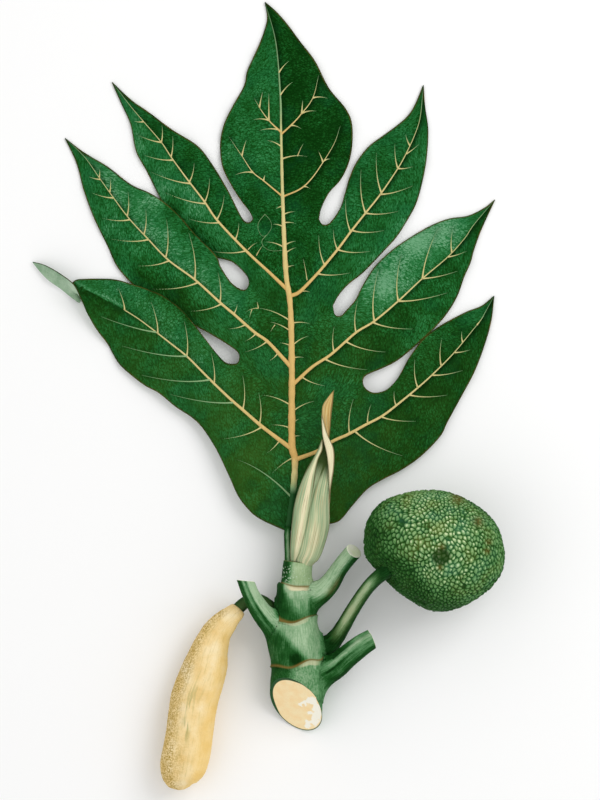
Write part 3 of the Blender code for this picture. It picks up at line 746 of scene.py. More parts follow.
def leaf_top_look():
    look = Look("leaf top", 0.6, 0.03)
    hatch = look.grain(1.3, 0.22, 2.5)
    shake = look.times(look.noise(0.003, 2.0), 1.6)
    net_x = look.add(look.times(look.value("grain_x"), 0.26), shake)
    net_y = look.add(look.times(look.value("grain_y"), 0.42), shake)
    net = look.cells(1.0, "DISTANCE_TO_EDGE", look.combine(net_x, net_y))
    cloud = look.noise(0.016, 4.0)
    hue = look.noise(0.022)
    lines = look.times(look.steps(net, 0.03, 0.15, -0.34, 0.04), look.steps(cloud, 0.35, 0.6, 0.5, 1.0))
    tone = look.add(look.value("tone"), look.steps(cloud, 0.3, 0.7, -0.10, 0.26), look.sway(hatch, 0.20),
                    look.sway(look.noise(0.0014, 2.0), 0.12), lines, clamp=True)
    green = look.ramp(tone, (0.0, (0.001, 0.030, 0.001)), (0.25, (0.005, 0.065, 0.006)),
                      (0.5, (0.012, 0.128, 0.026)), (0.75, (0.028, 0.192, 0.058)), (1.0, (0.14, 0.35, 0.18)))
    olive = look.times(look.steps(hue, 0.35, 0.6, 1.2, 0.5), look.value("olive"), clamp=True)
    green = look.tint(olive, green, (0.050, 0.120, 0.014))
    green = look.tint(look.steps(hue, 0.5, 0.75, 0.0, 0.4), green, (0.006, 0.140, 0.060))
    # Painted shade: darker in the grooves where the blade sinks along the veins, and the painted shadow along
    # one side of the main veins
    green = look.mix(look.steps(look.value("vein_mm"), 0.6, 3.0, 0.22, 0.0), green, (0.001, 0.022, 0.001))
    green = look.mix(look.value("vein_shade"), green, (0.0005, 0.014, 0.0005))
    rim = look.steps(look.value("edge_mm"), 0.35, 0.9, 0.8, 0.0)
    look.colour(look.mix(rim, green, (0.07, 0.06, 0.008)))
    look.bump(look.add(look.times(hatch, 0.5), look.steps(net, 0.0, 0.1, 0.0, 0.5)), 0.0004, 0.6)
    look.roughness(look.steps(cloud, 0.3, 0.7, 0.52, 0.66))
    return look.material


def leaf_underside_look():
    look = Look("leaf underside", 0.6, 0.25)
    net = look.cells(0.003, "DISTANCE_TO_EDGE")
    tone = look.add(look.noise(0.012, 4.0), look.steps(net, 0.0, 0.1, 0.12, 0.0))
    look.colour(look.ramp(tone, (0.3, (0.20, 0.34, 0.20)), (0.75, (0.46, 0.60, 0.44))))
    look.bump(look.steps(net, 0.0, 0.08, 1.0, 0.0), 0.0003, 0.5)
    return look.material


def vein_look():
    look = Look("leaf veins", 0.5, 0.12)
    stretched = look.node("ShaderNodeVectorMath", {0: look.place, 1: (1.0, 0.3, 1.0)}, operation="MULTIPLY")
    streak = look.noise(0.0012, 3.0, stretched.outputs[0])
    age = look.value("age")
    old = look.ramp(age, (0.0, (0.016, 0.090, 0.020)), (0.15, (0.23, 0.40, 0.19)), (0.35, (0.56, 0.56, 0.25)),
                    (0.6, (0.72, 0.60, 0.27)), (0.85, (0.72, 0.52, 0.20)), (1.0, (0.68, 0.41, 0.13)))
    worn = look.times(look.steps(streak, 0.3, 0.7, 0.0, 0.35), look.steps(age, 0.05, 0.4))
    look.colour(look.mix(worn, old, (0.42, 0.32, 0.09)))
    look.bump(streak, 0.0002, 0.5)
    return look.material


def margin_look():
    look = Look("leaf margin", 0.7, 0.03)
    look.colour(look.ramp(look.noise(0.01), (0.4, (0.006, 0.035, 0.003)), (0.62, (0.06, 0.065, 0.01)),
                          (0.75, (0.20, 0.15, 0.04))))
    return look.material


def fold_places(points):
    """How far each point lies along the fold from its start, and to which side of it."""
    start, end = np.array(FOLD)
    ahead = unit(end - start)
    away = points[:, :2] - start
    return away @ ahead, away @ (ahead[1], -ahead[0])


def make_leaf():
    blade = Blade()
    points = np.array(blade.points)
    tone, edge_mm, grain_x, grain_y = np.array(blade.carried).T
    lines = vein_lines()
    _, vein_mm = nearest(points, np.vstack([line for line, *_, kind in lines if kind != "curl"]))
    points[:, 2] -= VEIN_SINK * band(vein_mm, 0, 2.2)
    along, beside = fold_places(points)
    within = ease((along + 3) / 8) * ease((44 - along) / 8)
    points[:, 2] += FOLD_HEIGHT * within * band(beside, 0, 1.8)
    points[:, 2] = np.maximum(points[:, 2], BLADE_HALF)
    # A painted highlight along one side of the fold's crease and a painted shadow along the other
    tone += 0.3 * within * np.where(beside > 0, band(beside, 1, 1.6), -band(beside, 0, 4.5))
    # Painted sheen and painted shadows on the blade
    for x, y, radius, strength in PAINTED_SHEEN_AND_SHADOWS:
        tone += strength * spot(points, x, y, radius)
    main = [line for line, *_, kind in lines if kind in ("midrib", "main", "folded")]
    olive = 0.9 * ease((110 - points[:, 1]) / 190) * (1 - 0.6 * ease((points[:, 0] - 40) / 60))
    top = add_piece("leaf_top", points, blade.faces, leaf_top_look(), "leaf", ("leaf",), tone=tone,
                    olive=olive, edge_mm=edge_mm, vein_mm=vein_mm, grain_x=grain_x, grain_y=grain_y,
                    vein_shade=shaded_side(points, np.vstack(main)))
    make_underside(top, points, blade.faces)
    make_veins(lines, BVHTree.FromPolygons(points.tolist(), blade.faces))
    make_margin(blade)


def make_underside(top, points, faces):
    """The paler underside, which shows where a lobe's tip turns over."""
    normals = np.empty(points.size, np.float32)
    top.data.vertices.foreach_get("normal", normals)
    below = points - normals.reshape(-1, 3) * UNDERSIDE_DROP
    below[:, 2] = np.maximum(below[:, 2], 0.02)
    add_piece("leaf_underside", below, [face[::-1] for face in faces], leaf_underside_look(), "leaf")


def make_veins(lines, surface):
    """Every vein as a low ridge that lies on the blade."""
    rods, ages = [], []
    for line, root, tip, kind in lines:
        y = line[:, 1]
        if kind == "midrib":
            half = np.interp(y, *np.transpose(MIDRIB_WIDTHS))
            half *= 1 + 0.06 * np.sin(y * 0.31) + 0.05 * np.sin(y * 0.83 + 1)
            age = np.interp(y, *np.transpose(MIDRIB_AGES))
            sides, flatness = 10, 0.75
        else:
            share = np.linspace(0, 1, len(line))
            length = run_along(line)[-1]
            half = tip + (root - tip) * (1 - share) ** 1.3 + 0.45 * root * np.exp(-share * length / 2.5)
            age = np.interp(share, AGE_SHARES, VEIN_AGES[kind])
            sides, flatness = (8 if kind in ("main", "folded") else 6), 0.7
        spine = np.column_stack([line, [height_on(surface, *place) for place in line]])
        rods.append(rings_along(spine, half, half * flatness, sides))
        ages.append(np.repeat(age, sides))
    add_rods("leaf_veins", rods, vein_look(), "leaf", age=np.concatenate(ages))


def height_on(surface, x, y):
    hit = surface.ray_cast(Vector((x, y, 100.0)), Vector((0, 0, -1)))[0]
    return hit.z if hit else blade_height(np.array([[x, y]]))[0]


def make_petiole(look):
    """The leaf's own stalk, between the collar and the blade."""
    tube = Tube(PETIOLE, sides=32, count=70)
    # Painted light along the stalk's upper side
    lit = facing(tube.turns, 84, 34) * ease((-84 - tube.spine[:, 1:2]) / 8)
    add_tube("leaf_petiole", tube, tube.rings, look, "leaf", tone=0.12 + 0.75 * lit)


def make_margin(blade):
    """The thin, slightly thickened edge of the blade."""
    lines = [sample(margin, np.linspace(0, 1, MARGIN_POINTS)) for margin in blade.margins]
    for line in lines:
        line[:, 2] = np.maximum(line[:, 2], BLADE_HALF)
    half = np.full(MARGIN_POINTS, MARGIN_RADIUS)
    add_rods("leaf_margin", [rings_along(line, half, half, 5) for line in lines], margin_look(), "leaf")


# Stem, stubs and stalks

FILLET_DEPTH = 2.6  # how deep inside the other rods a rod still swells to meet them
FILLET_ROUNDS = 4
PROBE = 0.05  # step with which slopes are measured
STEM_FILLET, FRUIT_STALK_FILLET, SPIKE_STALK_FILLET = 9.0, 5.0, 3.0
# Rods are rows of (x, y, z, half width, half depth), or of one radius for both
STEM_STATIONS = [
    (17.7, -232, 17.5, 17), (18.1, -205, 17.5, 17.1), (18.8, -190, 17.5, 17.3), (18.6, -177, 17.5, 17),
    (18.5, -174.8, 17.5, 17.8), (18.3, -172.5, 17.5, 17), (17.7, -164, 17.5, 17.2),
    (17.6, -155, 17.5, 15.6), (17.8, -147, 17.5, 13.8), (17.6, -145, 17.5, 14.2), (17.4, -143, 17.5, 12.6),
    (17.1, -136, 17.5, 11.9), (16.9, -127, 17.5, 11.6), (17.1, -124.8, 17.5, 11.8),
    (17.5, -122.6, 17.5, 9.7), (18.4, -114, 17.5, 9.6), (19.1, -108.8, 17.5, 9.5),
]
CUT_CENTRE = np.array((18.4, -201.0, 17.5))
CUT_NORMAL = unit(np.array((-0.32, -0.70, 0.64)))
CUT_TOP = -178  # the stem is slid along up to here to meet the cut
# White patches on the cut as (x, y, radius), and a small hole in one of them
CUT_BLOTCHES = [
    (22.1, -200.9, 2.6), (28, -198.5, 3.2), (30.8, -203, 3.2), (31.3, -207.5, 3.2), (29.5, -211.5, 3.4),
    (25.5, -213.8, 2.6), (27, -206, 1.6),
]
CUT_HOLE = (22.3, -201.1, 1.1)
# Ring scars as (y, [(sag, way it faces, spread)], how strong the painted highlight on the lip below it is),
# and for each that painted highlight's (reach, way it faces, spread)
RINGS = [(-174.8, [(2.3, 104, 24), (-1.8, 62, 22)], 0.5), (-144.8, [(3.2, 98, 34)], 0.4),
         (-123.8, [(1.0, 95, 38), (1.3, 5, 35)], 0.95)]
LIP_HIGHLIGHTS = {-174.8: (2.4, 62, 20), -144.8: (2.2, 84, 28), -123.8: (2.6, 80, 32)}
BUD = (18, -171.3, 3.4, 3.8)  # x, y and the reach both ways of the small bud above the lowest ring
BUD_HEIGHT = 1.1
WARTS, WART_HEIGHT = 44, 0.3
# A groove is (way it faces, spread, depth), and an end is the way that the cut looks
STUBS = {
    "petiole_stub_left": {
        "stations": [
            (9.5, -158.5, 13, 8.2, 7.5), (4, -151.4, 18, 7.5, 7), (-1.4, -145.3, 24, 7.1, 6.4),
            (-7, -137.5, 29.5, 6.4, 5.8), (-11.4, -129.5, 34, 5.6, 5.3), (-14.9, -120.6, 38, 5.2, 5),
        ],
        "groove": (97, 9, 0.06),
        "end": (0.1, 1, -0.02),
    },
    "petiole_stub_upper_right": {
        "stations": [
            (24, -132.2, 17.5, 8.2, 8), (28.5, -131, 18, 7.8, 7.5), (33.8, -128.6, 18.7, 7, 6.8),
            (39.9, -122, 19.6, 6.5, 6.2), (45.1, -113.8, 21, 5.6, 5.5), (50.8, -106.3, 23.3, 5.5, 5.3),
            (55.2, -101.3, 25.5, 5.5, 5.3),
        ],
        "end": (0.53, 0.62, 0.58),
    },
    "petiole_stub_lower_right": {
        "stations": [
            (22, -186, 15, 8.5, 8), (33, -182, 19, 8.6, 7.8), (42.7, -176.6, 24, 8.2, 7.2),
            (50.6, -169.8, 28, 7.6, 6.6), (59.5, -162.8, 32, 7.2, 6), (66.8, -158.2, 35, 6.5, 5.4),
        ],
        "groove": (148, 20, 0.25),
        "end": (0.91, 0.4, -0.14),
    },
}
PETIOLE = [
    (12.9, -112, 16.5, 2.6, 4), (12.6, -105, 15.6, 2.3, 3.4), (12.2, -97, 14.6, 2.2, 2.9),
    (12.1, -90, 13.6, 2.2, 2.4), (12.6, -85.5, 13, 2.1, 2),
]
FRUIT_STALK = [
    (24, -172, 13.5, 8), (36.5, -164.4, 14, 7), (43.5, -157.5, 15, 5.6), (48.4, -150, 17, 4.9),
    (53.6, -140.9, 20.5, 4.6), (59.7, -131.2, 27, 4.4), (65.3, -123.6, 36, 4.4), (71.8, -117.2, 46.5, 4.6),
    (80, -111.5, 55, 5),
]
SPIKE_STALK = [
    (14, -149, 9, 5), (7, -143, 9, 4.4), (1, -137.5, 12, 4), (-5.5, -133.2, 15.5, 3.8),
    (-11.5, -133, 18, 3.9), (-17, -136, 19.5, 4), (-23.5, -142.5, 19.3, 4),
]
# The numbers that the bark's look reads besides its grain
BARK_MARKS = ("tone", "ring", "cream", "brown", "dots", "yellow")


class Tube:
    """A rod along stations, as rings of points from its first station to its last."""

    def __init__(self, stations, sides, count, groove=None):
        rows = smooth_curve([(*station, station[-1])[:5] for station in stations], count)
        self.spine, self.widths, self.depths = rows[:, :3], rows[:, 3], rows[:, 4]
        self.along, self.level, self.rise = directions(self.spine)
        self.turns = np.linspace(0, 360, sides, endpoint=False)[None, :]
        self.shares = np.linspace(0, 1, count)[:, None]
        self.run = run_along(self.spine)[:, None]
        reach = 1.0
        if groove:
            angle, spread, depth = groove
            reach = 1 - depth * facing(self.turns, angle, spread) * ease(self.shares / 0.5)
        self.rings = rings_along(self.spine, self.widths, self.depths, sides, reach)

    def field(self, points):
        """About how far each point is outside this rod's surface. It is negative inside."""
        tree = search_tree(self.spine)
        near = np.array([tree.find(point)[1] for point in points])
        away = points - self.spine[near]
        ahead = np.einsum("ij,ij->i", away, self.along[near])
        across = np.einsum("ij,ij->i", away, self.level[near]) / self.widths[near]
        up = np.einsum("ij,ij->i", away, self.rise[near]) / self.depths[near]
        reach = np.hypot(across, up)
        flat = np.sqrt(np.maximum((away ** 2).sum(axis=1) - ahead ** 2, 1e-9))
        beside = (reach - 1) * flat / np.maximum(reach, 1e-6)
        end = np.abs(ahead) * ((near == 0) | (near == len(self.spine) - 1))
        return np.where(end > 0.6, np.hypot(np.maximum(beside, 0), end), beside)


def soft_union(first, second, reach):
    """Two distances joined into one, with a soft hollow of this reach between their surfaces."""
    overlap = np.maximum(reach - np.abs(first - second), 0) / reach
    return np.minimum(first, second) - overlap ** 2 * reach / 4


def filleted(tube, others, reach):
    """The tube's rings, drawn out near the other tubes so that they meet in smooth hollows."""
    points = tube.rings.reshape(-1, 3).copy()
    near = np.min([other.field(points) for other in others], axis=0)
    active = np.flatnonzero((near < reach) & (near > -FILLET_DEPTH))
    share = ease((near[active] + FILLET_DEPTH) / 1.2)[:, None]
    moved = points[active].copy()

    def union(places):
        value = tube.field(places)
        for other in others:
            value = soft_union(value, other.field(places), reach)
        return value

    for _ in range(FILLET_ROUNDS):
        value = union(moved)
        slope = np.stack([union(moved + step) - value for step in np.eye(3) * PROBE], axis=1) / PROBE
        length = np.maximum((slope ** 2).sum(axis=1), 0.2)
        moved -= np.clip(value / length, -1.5, 1.5)[:, None] * slope
    points[active] += (moved - points[active]) * share
    return points.reshape(tube.rings.shape)


def add_tube(name, tube, rings, look, slot, replaces=(), ends=True, **attributes):
    """A piece from a rod's rings, with or without its ends."""
    rows, sides = rings.shape[:2]
    values = dict.fromkeys(BARK_MARKS, 0.0)
    values |= {"grain_x": tube.turns * tube.widths.mean() / 57, "grain_y": tube.run} | attributes
    values = {key: np.zeros((rows, sides)) + value for key, value in values.items()}
    faces = skin_faces(rows, sides, first_end=ends, last_end=ends)
    add_piece(name, rings, faces, look, slot, replaces, **values)


def bark_look():
    look = Look("stem bark", 0.6, 0.03)
    streak = look.grain(1.3, 0.12)
    speck = look.noise(0.0012, 2.0)
    cloud = look.noise(0.009)
    # Tone is the painted light and shade of the stem, stubs and stalks
    tone = look.add(look.value("tone"), look.sway(streak, 0.13), look.sway(cloud, 0.08),
                    look.sway(speck, 0.05), clamp=True)
    green = look.ramp(tone, (0.0, (0.002, 0.026, 0.002)), (0.3, (0.013, 0.086, 0.015)),
                      (0.6, (0.095, 0.245, 0.098)), (1.0, (0.38, 0.53, 0.33)))
    brown = look.times(look.value("brown"), look.steps(cloud, 0.35, 0.6, 0.3, 1.0), clamp=True)
    green = look.tint(brown, green, (0.42, 0.24, 0.12))
    # cream is the painted highlight below the ring scars
    green = look.mix(look.value("cream"), green, (0.72, 0.66, 0.42))
    green = look.tint(look.value("yellow"), green, (0.46, 0.50, 0.22))
    green = look.mix(look.steps(look.value("dots"), 0.25, 0.7), green, (0.50, 0.64, 0.46))
    look.colour(look.mix(look.value("ring"), green, (0.20, 0.12, 0.03)))
    look.bump(look.add(streak, look.times(speck, 0.5)), 0.0003, 0.5)
    return look.material


def stub_cut_look():
    look = Look("cut stalk", 0.6, 0.2)
    pores = look.cells(0.0009)
    base = look.ramp(look.noise(0.006), (0.35, (0.90, 0.98, 0.66)), (0.7, (1.0, 1.0, 0.84)))
    look.colour(look.mix(look.steps(pores, 0.1, 0.3, 0.12, 0.0), base, (0.30, 0.42, 0.22)))
    look.bump(pores, 0.0003, 0.4)
    return look.material


def stem_cut_look():
    look = Look("cut stem", 0.6, 0.1)
    cloud = look.noise(0.005, 4.0)
    pores = look.cells(0.0011)
    flesh = look.ramp(cloud, (0.3, (0.98, 0.74, 0.40)), (0.7, (1.0, 0.84, 0.52)))
    flesh = look.mix(look.steps(pores, 0.05, 0.4, 0.2, 0.0), flesh, (0.80, 0.52, 0.24))
    white = look.steps(look.add(look.value("blotch"), look.sway(cloud, 0.5)), 0.6, 0.8)
    flesh = look.mix(white, flesh, (1.0, 0.97, 0.84))
    look.colour(look.mix(look.steps(look.value("rim"), 0.965, 0.985), flesh, (0.02, 0.08, 0.025)))
    look.bump(pores, 0.0002, 0.4)
    return look.material


def make_stalks():
    stem = Tube(STEM_STATIONS, sides=96, count=300)
    stubs = {name: Tube(stub["stations"], sides=64, count=90, groove=stub.get("groove"))
             for name, stub in STUBS.items()}
    fruit_stalk = Tube(FRUIT_STALK, sides=48, count=120)
    spike_stalk = Tube(SPIKE_STALK, sides=40, count=90)
    bark = bark_look()
    make_petiole(bark)
    stem.rings = stem_cut(stem.rings, stem.spine[:, 1])
    make_stem(stem, filleted(stem, [*stubs.values(), fruit_stalk, spike_stalk], STEM_FILLET), bark)
    for name, tube in stubs.items():
        make_stub(name, tube, filleted(tube, [stem], STEM_FILLET), stem, bark)
    share = fruit_stalk.shares
    # Painted light along the fruit stalk's upper side, tinted brown and yellow there
    lit = facing(fruit_stalk.turns, 100, 34) * ease((share - 0.2) / 0.25) * ease((0.94 - share) / 0.2)
    rings = filleted(fruit_stalk, [stem], FRUIT_STALK_FILLET)
    add_tube("fruit_stalk_skin", fruit_stalk, rings, bark, "fruit_stalk", ("fruit_stalk",),
             tone=0.10 + 0.92 * lit, brown=0.5 * lit * ease((0.85 - share) / 0.3), yellow=0.45 * lit)
    # Painted light along the flower spike stalk's upper side, tinted yellow
    lit = facing(spike_stalk.turns, 95, 55)
    rings = filleted(spike_stalk, [stem], SPIKE_STALK_FILLET)
    add_tube("flower_spike_stalk_skin", spike_stalk, rings, bark, "flower_spike_stalk",
             ("flower_spike_stalk",), tone=0.03 + 0.15 * lit, yellow=0.2 * lit)


def stem_tone(points, level):
    """The painted light and shade of the stem and its neighbours at each point, from 0, the darkest green, to
    1, mostly darker on the left and lighter towards the right. Level is the height up the stem by which a
    point belongs to one joint or the next."""
    x, y = points[..., 0], points[..., 1]
    low = 0.24 + 0.44 * ease((x - 11) / 7) * (1 - 0.5 * ease((x - 30) / 5))
    middle = 0.30 + 0.42 * ease(((x + y + 148.6) * 0.7 + 1.5) / 5) - 0.3 * ease((x - 32.5) / 3)
    middle = middle + 0.22 * band(x, 21, 6.5) * band(y, -155, 9)
    depth = np.maximum(-126 - y, 0)
    high = 0.17 + (0.72 - 0.020 * depth) * ease((x - 8.4) / (2.5 + 0.9 * depth))
    high = high * (1 - 0.5 * ease((x - 24.5) / 3) * ease((-129 - y) / 4))
    tone = low + (middle - low) * ease((level + 175.2) / 1.2)
    return tone + (high - tone) * ease((level + 145.2) / 1.2)


def make_stem(stem, rings, look):
    """The stem's skin, its slanting cut face and its top."""
    rings = rings.copy()
    upper = np.sin(np.radians(stem.turns)) > 0.02
    side = np.cos(np.radians(stem.turns))
    level = stem.spine[:, 1:2]
    scar, pale = np.zeros(rings.shape[:2]), np.zeros(rings.shape[:2])
    for y, sags, lip_highlight in RINGS:
        beyond = level - y
        rings[..., 1] -= sum(sag * band(stem.turns, *way) for sag, *way in sags) * band(beyond, 0, 9)
        scar = np.maximum(scar, band(beyond, 0.7, 0.68))
        # pale, and the cream it becomes, carry the painted highlight on the lit lip just below each ring scar
        reach, around, half = LIP_HIGHLIGHTS[y]
        spread = ease(1.6 - np.abs((stem.turns - around + 180) % 360 - 180) / half)
        depth = reach * (0.35 + 0.65 * spread)
        pale = np.maximum(pale, lip_highlight * ease((beyond + depth) / (0.3 * depth)) * (beyond < 0.3) * spread)
    x, y, reach_x, reach_y = BUD
    bud = band(rings[..., 0], x, reach_x) * band(rings[..., 1], y, reach_y)
    bud = bud * np.maximum(np.sin(np.radians(stem.turns)), 0)
    rings[..., 2] += BUD_HEIGHT * bud
    warts = make_warts(rings, upper)
    rings[..., 2] += WART_HEIGHT * warts
    collar = ease((level + 122.6) / 1.5)
    # Painted shade on the collar's left side and painted light on its right, which yellow also tints
    tone = stem_tone(rings, level) * (1 - collar) + (0.16 + 0.72 * ease((side + 0.78) / 0.6)) * collar
    add_tube("stem_skin", stem, rings, look, "stem", ("stem",), ends=False,
             tone=np.clip(tone - 0.5 * bud, 0, 1), ring=scar * 0.85, cream=np.clip(pale, 0, 1), dots=warts,
             yellow=0.5 * collar * ease((side + 0.6) / 0.6))
    make_cut_face(rings[0])
    make_collar_top(rings[-1], look)


def make_warts(rings, upper):
    """Small pale warts on the dark side of the collar."""
    warts = np.zeros(rings.shape[:2])
    for _ in range(WARTS):
        x = RNG.uniform(9, 18) if RNG.random() < 0.8 else RNG.uniform(22, 28.5)
        y = RNG.uniform(-121.5, -110.5) - (1.5 if x > 15 else 0)
        warts = np.maximum(warts, spot(rings, x, y, RNG.uniform(0.24, 0.46)) * upper)
    return warts


def stem_cut(rings, level):
    """The stem's rings with their lower rows slid along so that the first lies on the cut plane."""
    rings = rings.copy()
    last = int(np.argmax(level > CUT_TOP))
    offset = (rings[0] - CUT_CENTRE)[:, (0, 2)] @ CUT_NORMAL[[0, 2]]
    rings[:last, :, 1] = np.linspace(CUT_CENTRE[1] - offset / CUT_NORMAL[1], rings[last, :, 1], last)
    return rings


def make_cut_face(rim):
    """The pale slanting cut, a little sunken inside its green rim."""
    shares = np.concatenate([[1.0, 0.985, 0.965], np.linspace(0.94, 0.02, 34)])
    points = shrinking_rings(rim, shares)
    points -= CUT_NORMAL * (0.5 * ease((1 - shares) / 0.06) - 0.4 * (1 - shares) ** 2)[:, None, None]
    blotch = np.zeros(points.shape[:2])
    for x, y, radius in CUT_BLOTCHES:
        blotch = np.maximum(blotch, 1.6 - np.hypot(points[..., 0] - x, points[..., 1] - y) / radius)
    x, y, radius = CUT_HOLE
    hole = np.hypot(points[..., 0] - x, points[..., 1] - y) / radius
    blotch -= 2.4 * np.maximum(1 - hole, 0)
    left = ease(((points - rim.mean(axis=0)) @ (-0.75, 0.66, 0) - 1) / 11)
    faces = [face[::-1] for face in skin_faces(len(shares), len(rim), first_end=False)]
    add_piece("stem_cut_face", points, faces, stem_cut_look(), "stem", blotch=blotch,
              rim=shares[:, None] + 0.085 * left)


def make_collar_top(rim, look):
    """The collar's top, which rolls inwards around the petiole and the bud sheath."""
    points = shrinking_rings(rim, (1.0, 0.97, 0.92, 0.85, 0.6, 0.3, 0.02))
    points[..., 1] += np.array([0, 0.35, 0.3, -0.3, -0.8, -1.0, -1.0])[:, None]
    values = dict.fromkeys((*BARK_MARKS, "grain_x", "grain_y"), 0.0)
    values |= {"tone": 0.45, "ring": 0.3, "yellow": 0.3}
    values = {key: np.full(points.shape[:2], value) for key, value in values.items()}
    add_piece("stem_top", points, skin_faces(*points.shape[:2], first_end=False), look, "stem", **values)


def slanted_end(tube, rings, normal):
    """The rings slid along the rod so that the last one lies on a plane with this normal."""
    ahead = tube.along[-1]
    slide = -((rings[-1] - tube.spine[-1]) @ normal) / (ahead @ normal)
    share = ease((tube.shares - 0.7) / 0.3)
    return rings + (share * slide)[..., None] * ahead


def stub_tone(name, turns, share):
    """The painted light and shade of each part of a stub, from 0, the darkest green, to 1."""
    if name == "petiole_stub_left":
        tone = 0.20 + 0.77 * ease((92 - turns) / 12) + 0.3 * band(turns, 111, 10) * ease((share - 0.1) / 0.3)
        return tone + 0.35 * band(turns, 104, 16) * ease((share - 0.6) / 0.3)
    if name == "petiole_stub_upper_right":
        return 0.22 + 0.7 * ease((turns - 45) / 45) * ease((205 - turns) / 40)
    far = ease((share - 0.55) / 0.35)
    tone = 0.12 + 0.22 * ease((turns - 35) / 30) + 0.38 * band(turns, 112 + 14 * far, 17 + 14 * far)
    tone = tone + 0.16 * far * ease((turns - 40) / 30) - 0.42 * band(turns, 90, 6) * (1 - far)
    return tone - 0.3 * ease((turns - 130) / 12) * (1 - far)


def make_stub(name, tube, rings, stem, look):
    """A cut leaf stalk, with a paler cut end."""
    gap = stem.field(rings.reshape(-1, 3)).reshape(rings.shape[:2])
    rings = slanted_end(tube, rings, np.array(STUBS[name]["end"]))
    tone = stub_tone(name, tube.turns, tube.shares)
    tone = tone + (stem_tone(rings, rings[..., 1]) - tone) * band(gap, 0, 5.0)
    brown = 0.0
    if name == "petiole_stub_upper_right":
        brown = 0.6 * band(tube.turns, 62, 18) * band(tube.shares, 0.42, 0.16)
    add_tube(f"{name}_skin", tube, rings, look, "petiole_stub", (name,), tone=np.clip(tone, 0, 1),
             brown=brown)
    points = shrinking_rings(rings[-1], (1.0, 0.96, 0.9, 0.75, 0.5, 0.25, 0.02))
    points += tube.along[-1] * np.array([0.02, 0.25, 0.3, 0.3, 0.25, 0.2, 0.2])[:, None, None]
    faces = skin_faces(*points.shape[:2], first_end=False)
    add_piece(f"{name}_cut", points, faces, stub_cut_look(), "petiole_stub")


# The fruit

FRUIT_CENTRE = np.array((107.4, -100.7, 40.4))
FRUIT_HALF_HEIGHT = 41.0
SKIN_DEPTH = 0.5  # from the outline down to the middle of the nodules' flanks
# The outline seen from above as (angle, reach)
FRUIT_REACH = [
    (-170, 43.2), (-144, 36.8), (-118, 35.9), (-91, 39.4), (-64, 40.7), (-32, 44.2), (-8, 46.2), (22, 43.7),
    (49, 39.9), (78, 39.1), (100, 39.7), (120, 42.3), (138, 46.5), (158, 47.6), (180, 45.7),
]
SOCKET = (-0.86, -0.38, 0.34)  # the way from the fruit's middle to where its stalk goes in
SOCKET_DEPTH = 3.5
DIMPLE = (111.6, -104.6, 5.4)  # x, y and radius
DIMPLE_DEPTH = 2.6
NODULES = 2500
NODULE_HEIGHT, NODULE_FOOT = 1.15, -0.6
NODULE_SHIFT = 0.017  # how irregularly they stand, on the unit sphere
NODULE_SCALE = 42  # turns distances on the unit sphere into millimetres
SQUEEZE = np.array((1.2, 0.84, 1.0))  # makes the nodules narrower and longer
BALL_QUADS = 127  # along each side of the cube that the fruit's mesh is made from
# Brown patches as (x, y, radius)
BROWN_PATCHES = [
    (122.5, -66.5, 4.5), (135.5, -82, 3.5), (142.5, -95, 2.2), (141.5, -101, 2), (112.3, -98.5, 2.2),
    (110.8, -111.3, 2),
]


def cube_sphere(count):
    """Unit directions and quads of a sphere made from a cube with count by count quads on each side."""
    steps = np.tan(np.linspace(-math.pi / 4, math.pi / 4, count + 1))
    first, second = np.meshgrid(steps, steps, indexing="ij")
    points, faces, start = [], [], 0
    for axis in range(3):
        for sign in (1, -1):
            side = np.empty((count + 1, count + 1, 3))
            side[..., axis] = sign
            side[..., (axis + 1) % 3] = first * sign
            side[..., (axis + 2) % 3] = second
            points.append(side.reshape(-1, 3))
            faces.append(grid_faces(count + 1, count + 1, start=start))
            start += (count + 1) ** 2
    points, faces = unit(np.vstack(points)), np.vstack(faces)
    _, keep, merged = np.unique(np.round(points, 6), axis=0, return_index=True, return_inverse=True)
    return points[keep], merged.reshape(-1)[faces][:, ::-1]


def fruit_surface(units):
    """Points and outward directions of the fruit without its nodules."""
    turns, reaches = np.transpose(FRUIT_REACH)
    knots = np.column_stack([reaches * np.cos(np.radians(turns)), reaches * np.sin(np.radians(turns))])
    outline = smooth_curve(np.vstack([knots[-2:], knots, knots[:2]]), 800)[60:-60]
    around = np.degrees(np.arctan2(outline[:, 1], outline[:, 0]))
    ways = np.degrees(np.arctan2(units[:, 1], units[:, 0]))
    reach = np.interp(ways, around, np.hypot(*outline.T), period=360)
    reach = np.column_stack([reach, reach, np.full(len(units), FRUIT_HALF_HEIGHT)]) - SKIN_DEPTH
    return FRUIT_CENTRE + units * reach, unit(units / reach)


def nodule_pattern(units):
    """The nodule that each direction lies on, how much nearer it is than the next one, and all middles."""
    number = np.arange(NODULES) + 0.5
    polar = np.arccos(1 - 2 * number / NODULES)
    turn = number * math.pi * (3 - math.sqrt(5))
    centres = np.stack([np.sin(polar) * np.cos(turn), np.sin(polar) * np.sin(turn), np.cos(polar)], axis=1)
    centres = unit(centres + RNG.normal(0, NODULE_SHIFT, centres.shape))
    tree = search_tree(centres * SQUEEZE)
    found = [tree.find_n(way, 2) for way in units * SQUEEZE]
    which = np.array([first[1] for first, _ in found])
    gap = np.array([second[2] - first[2] for first, second in found]) * NODULE_SCALE
    return which, gap, centres


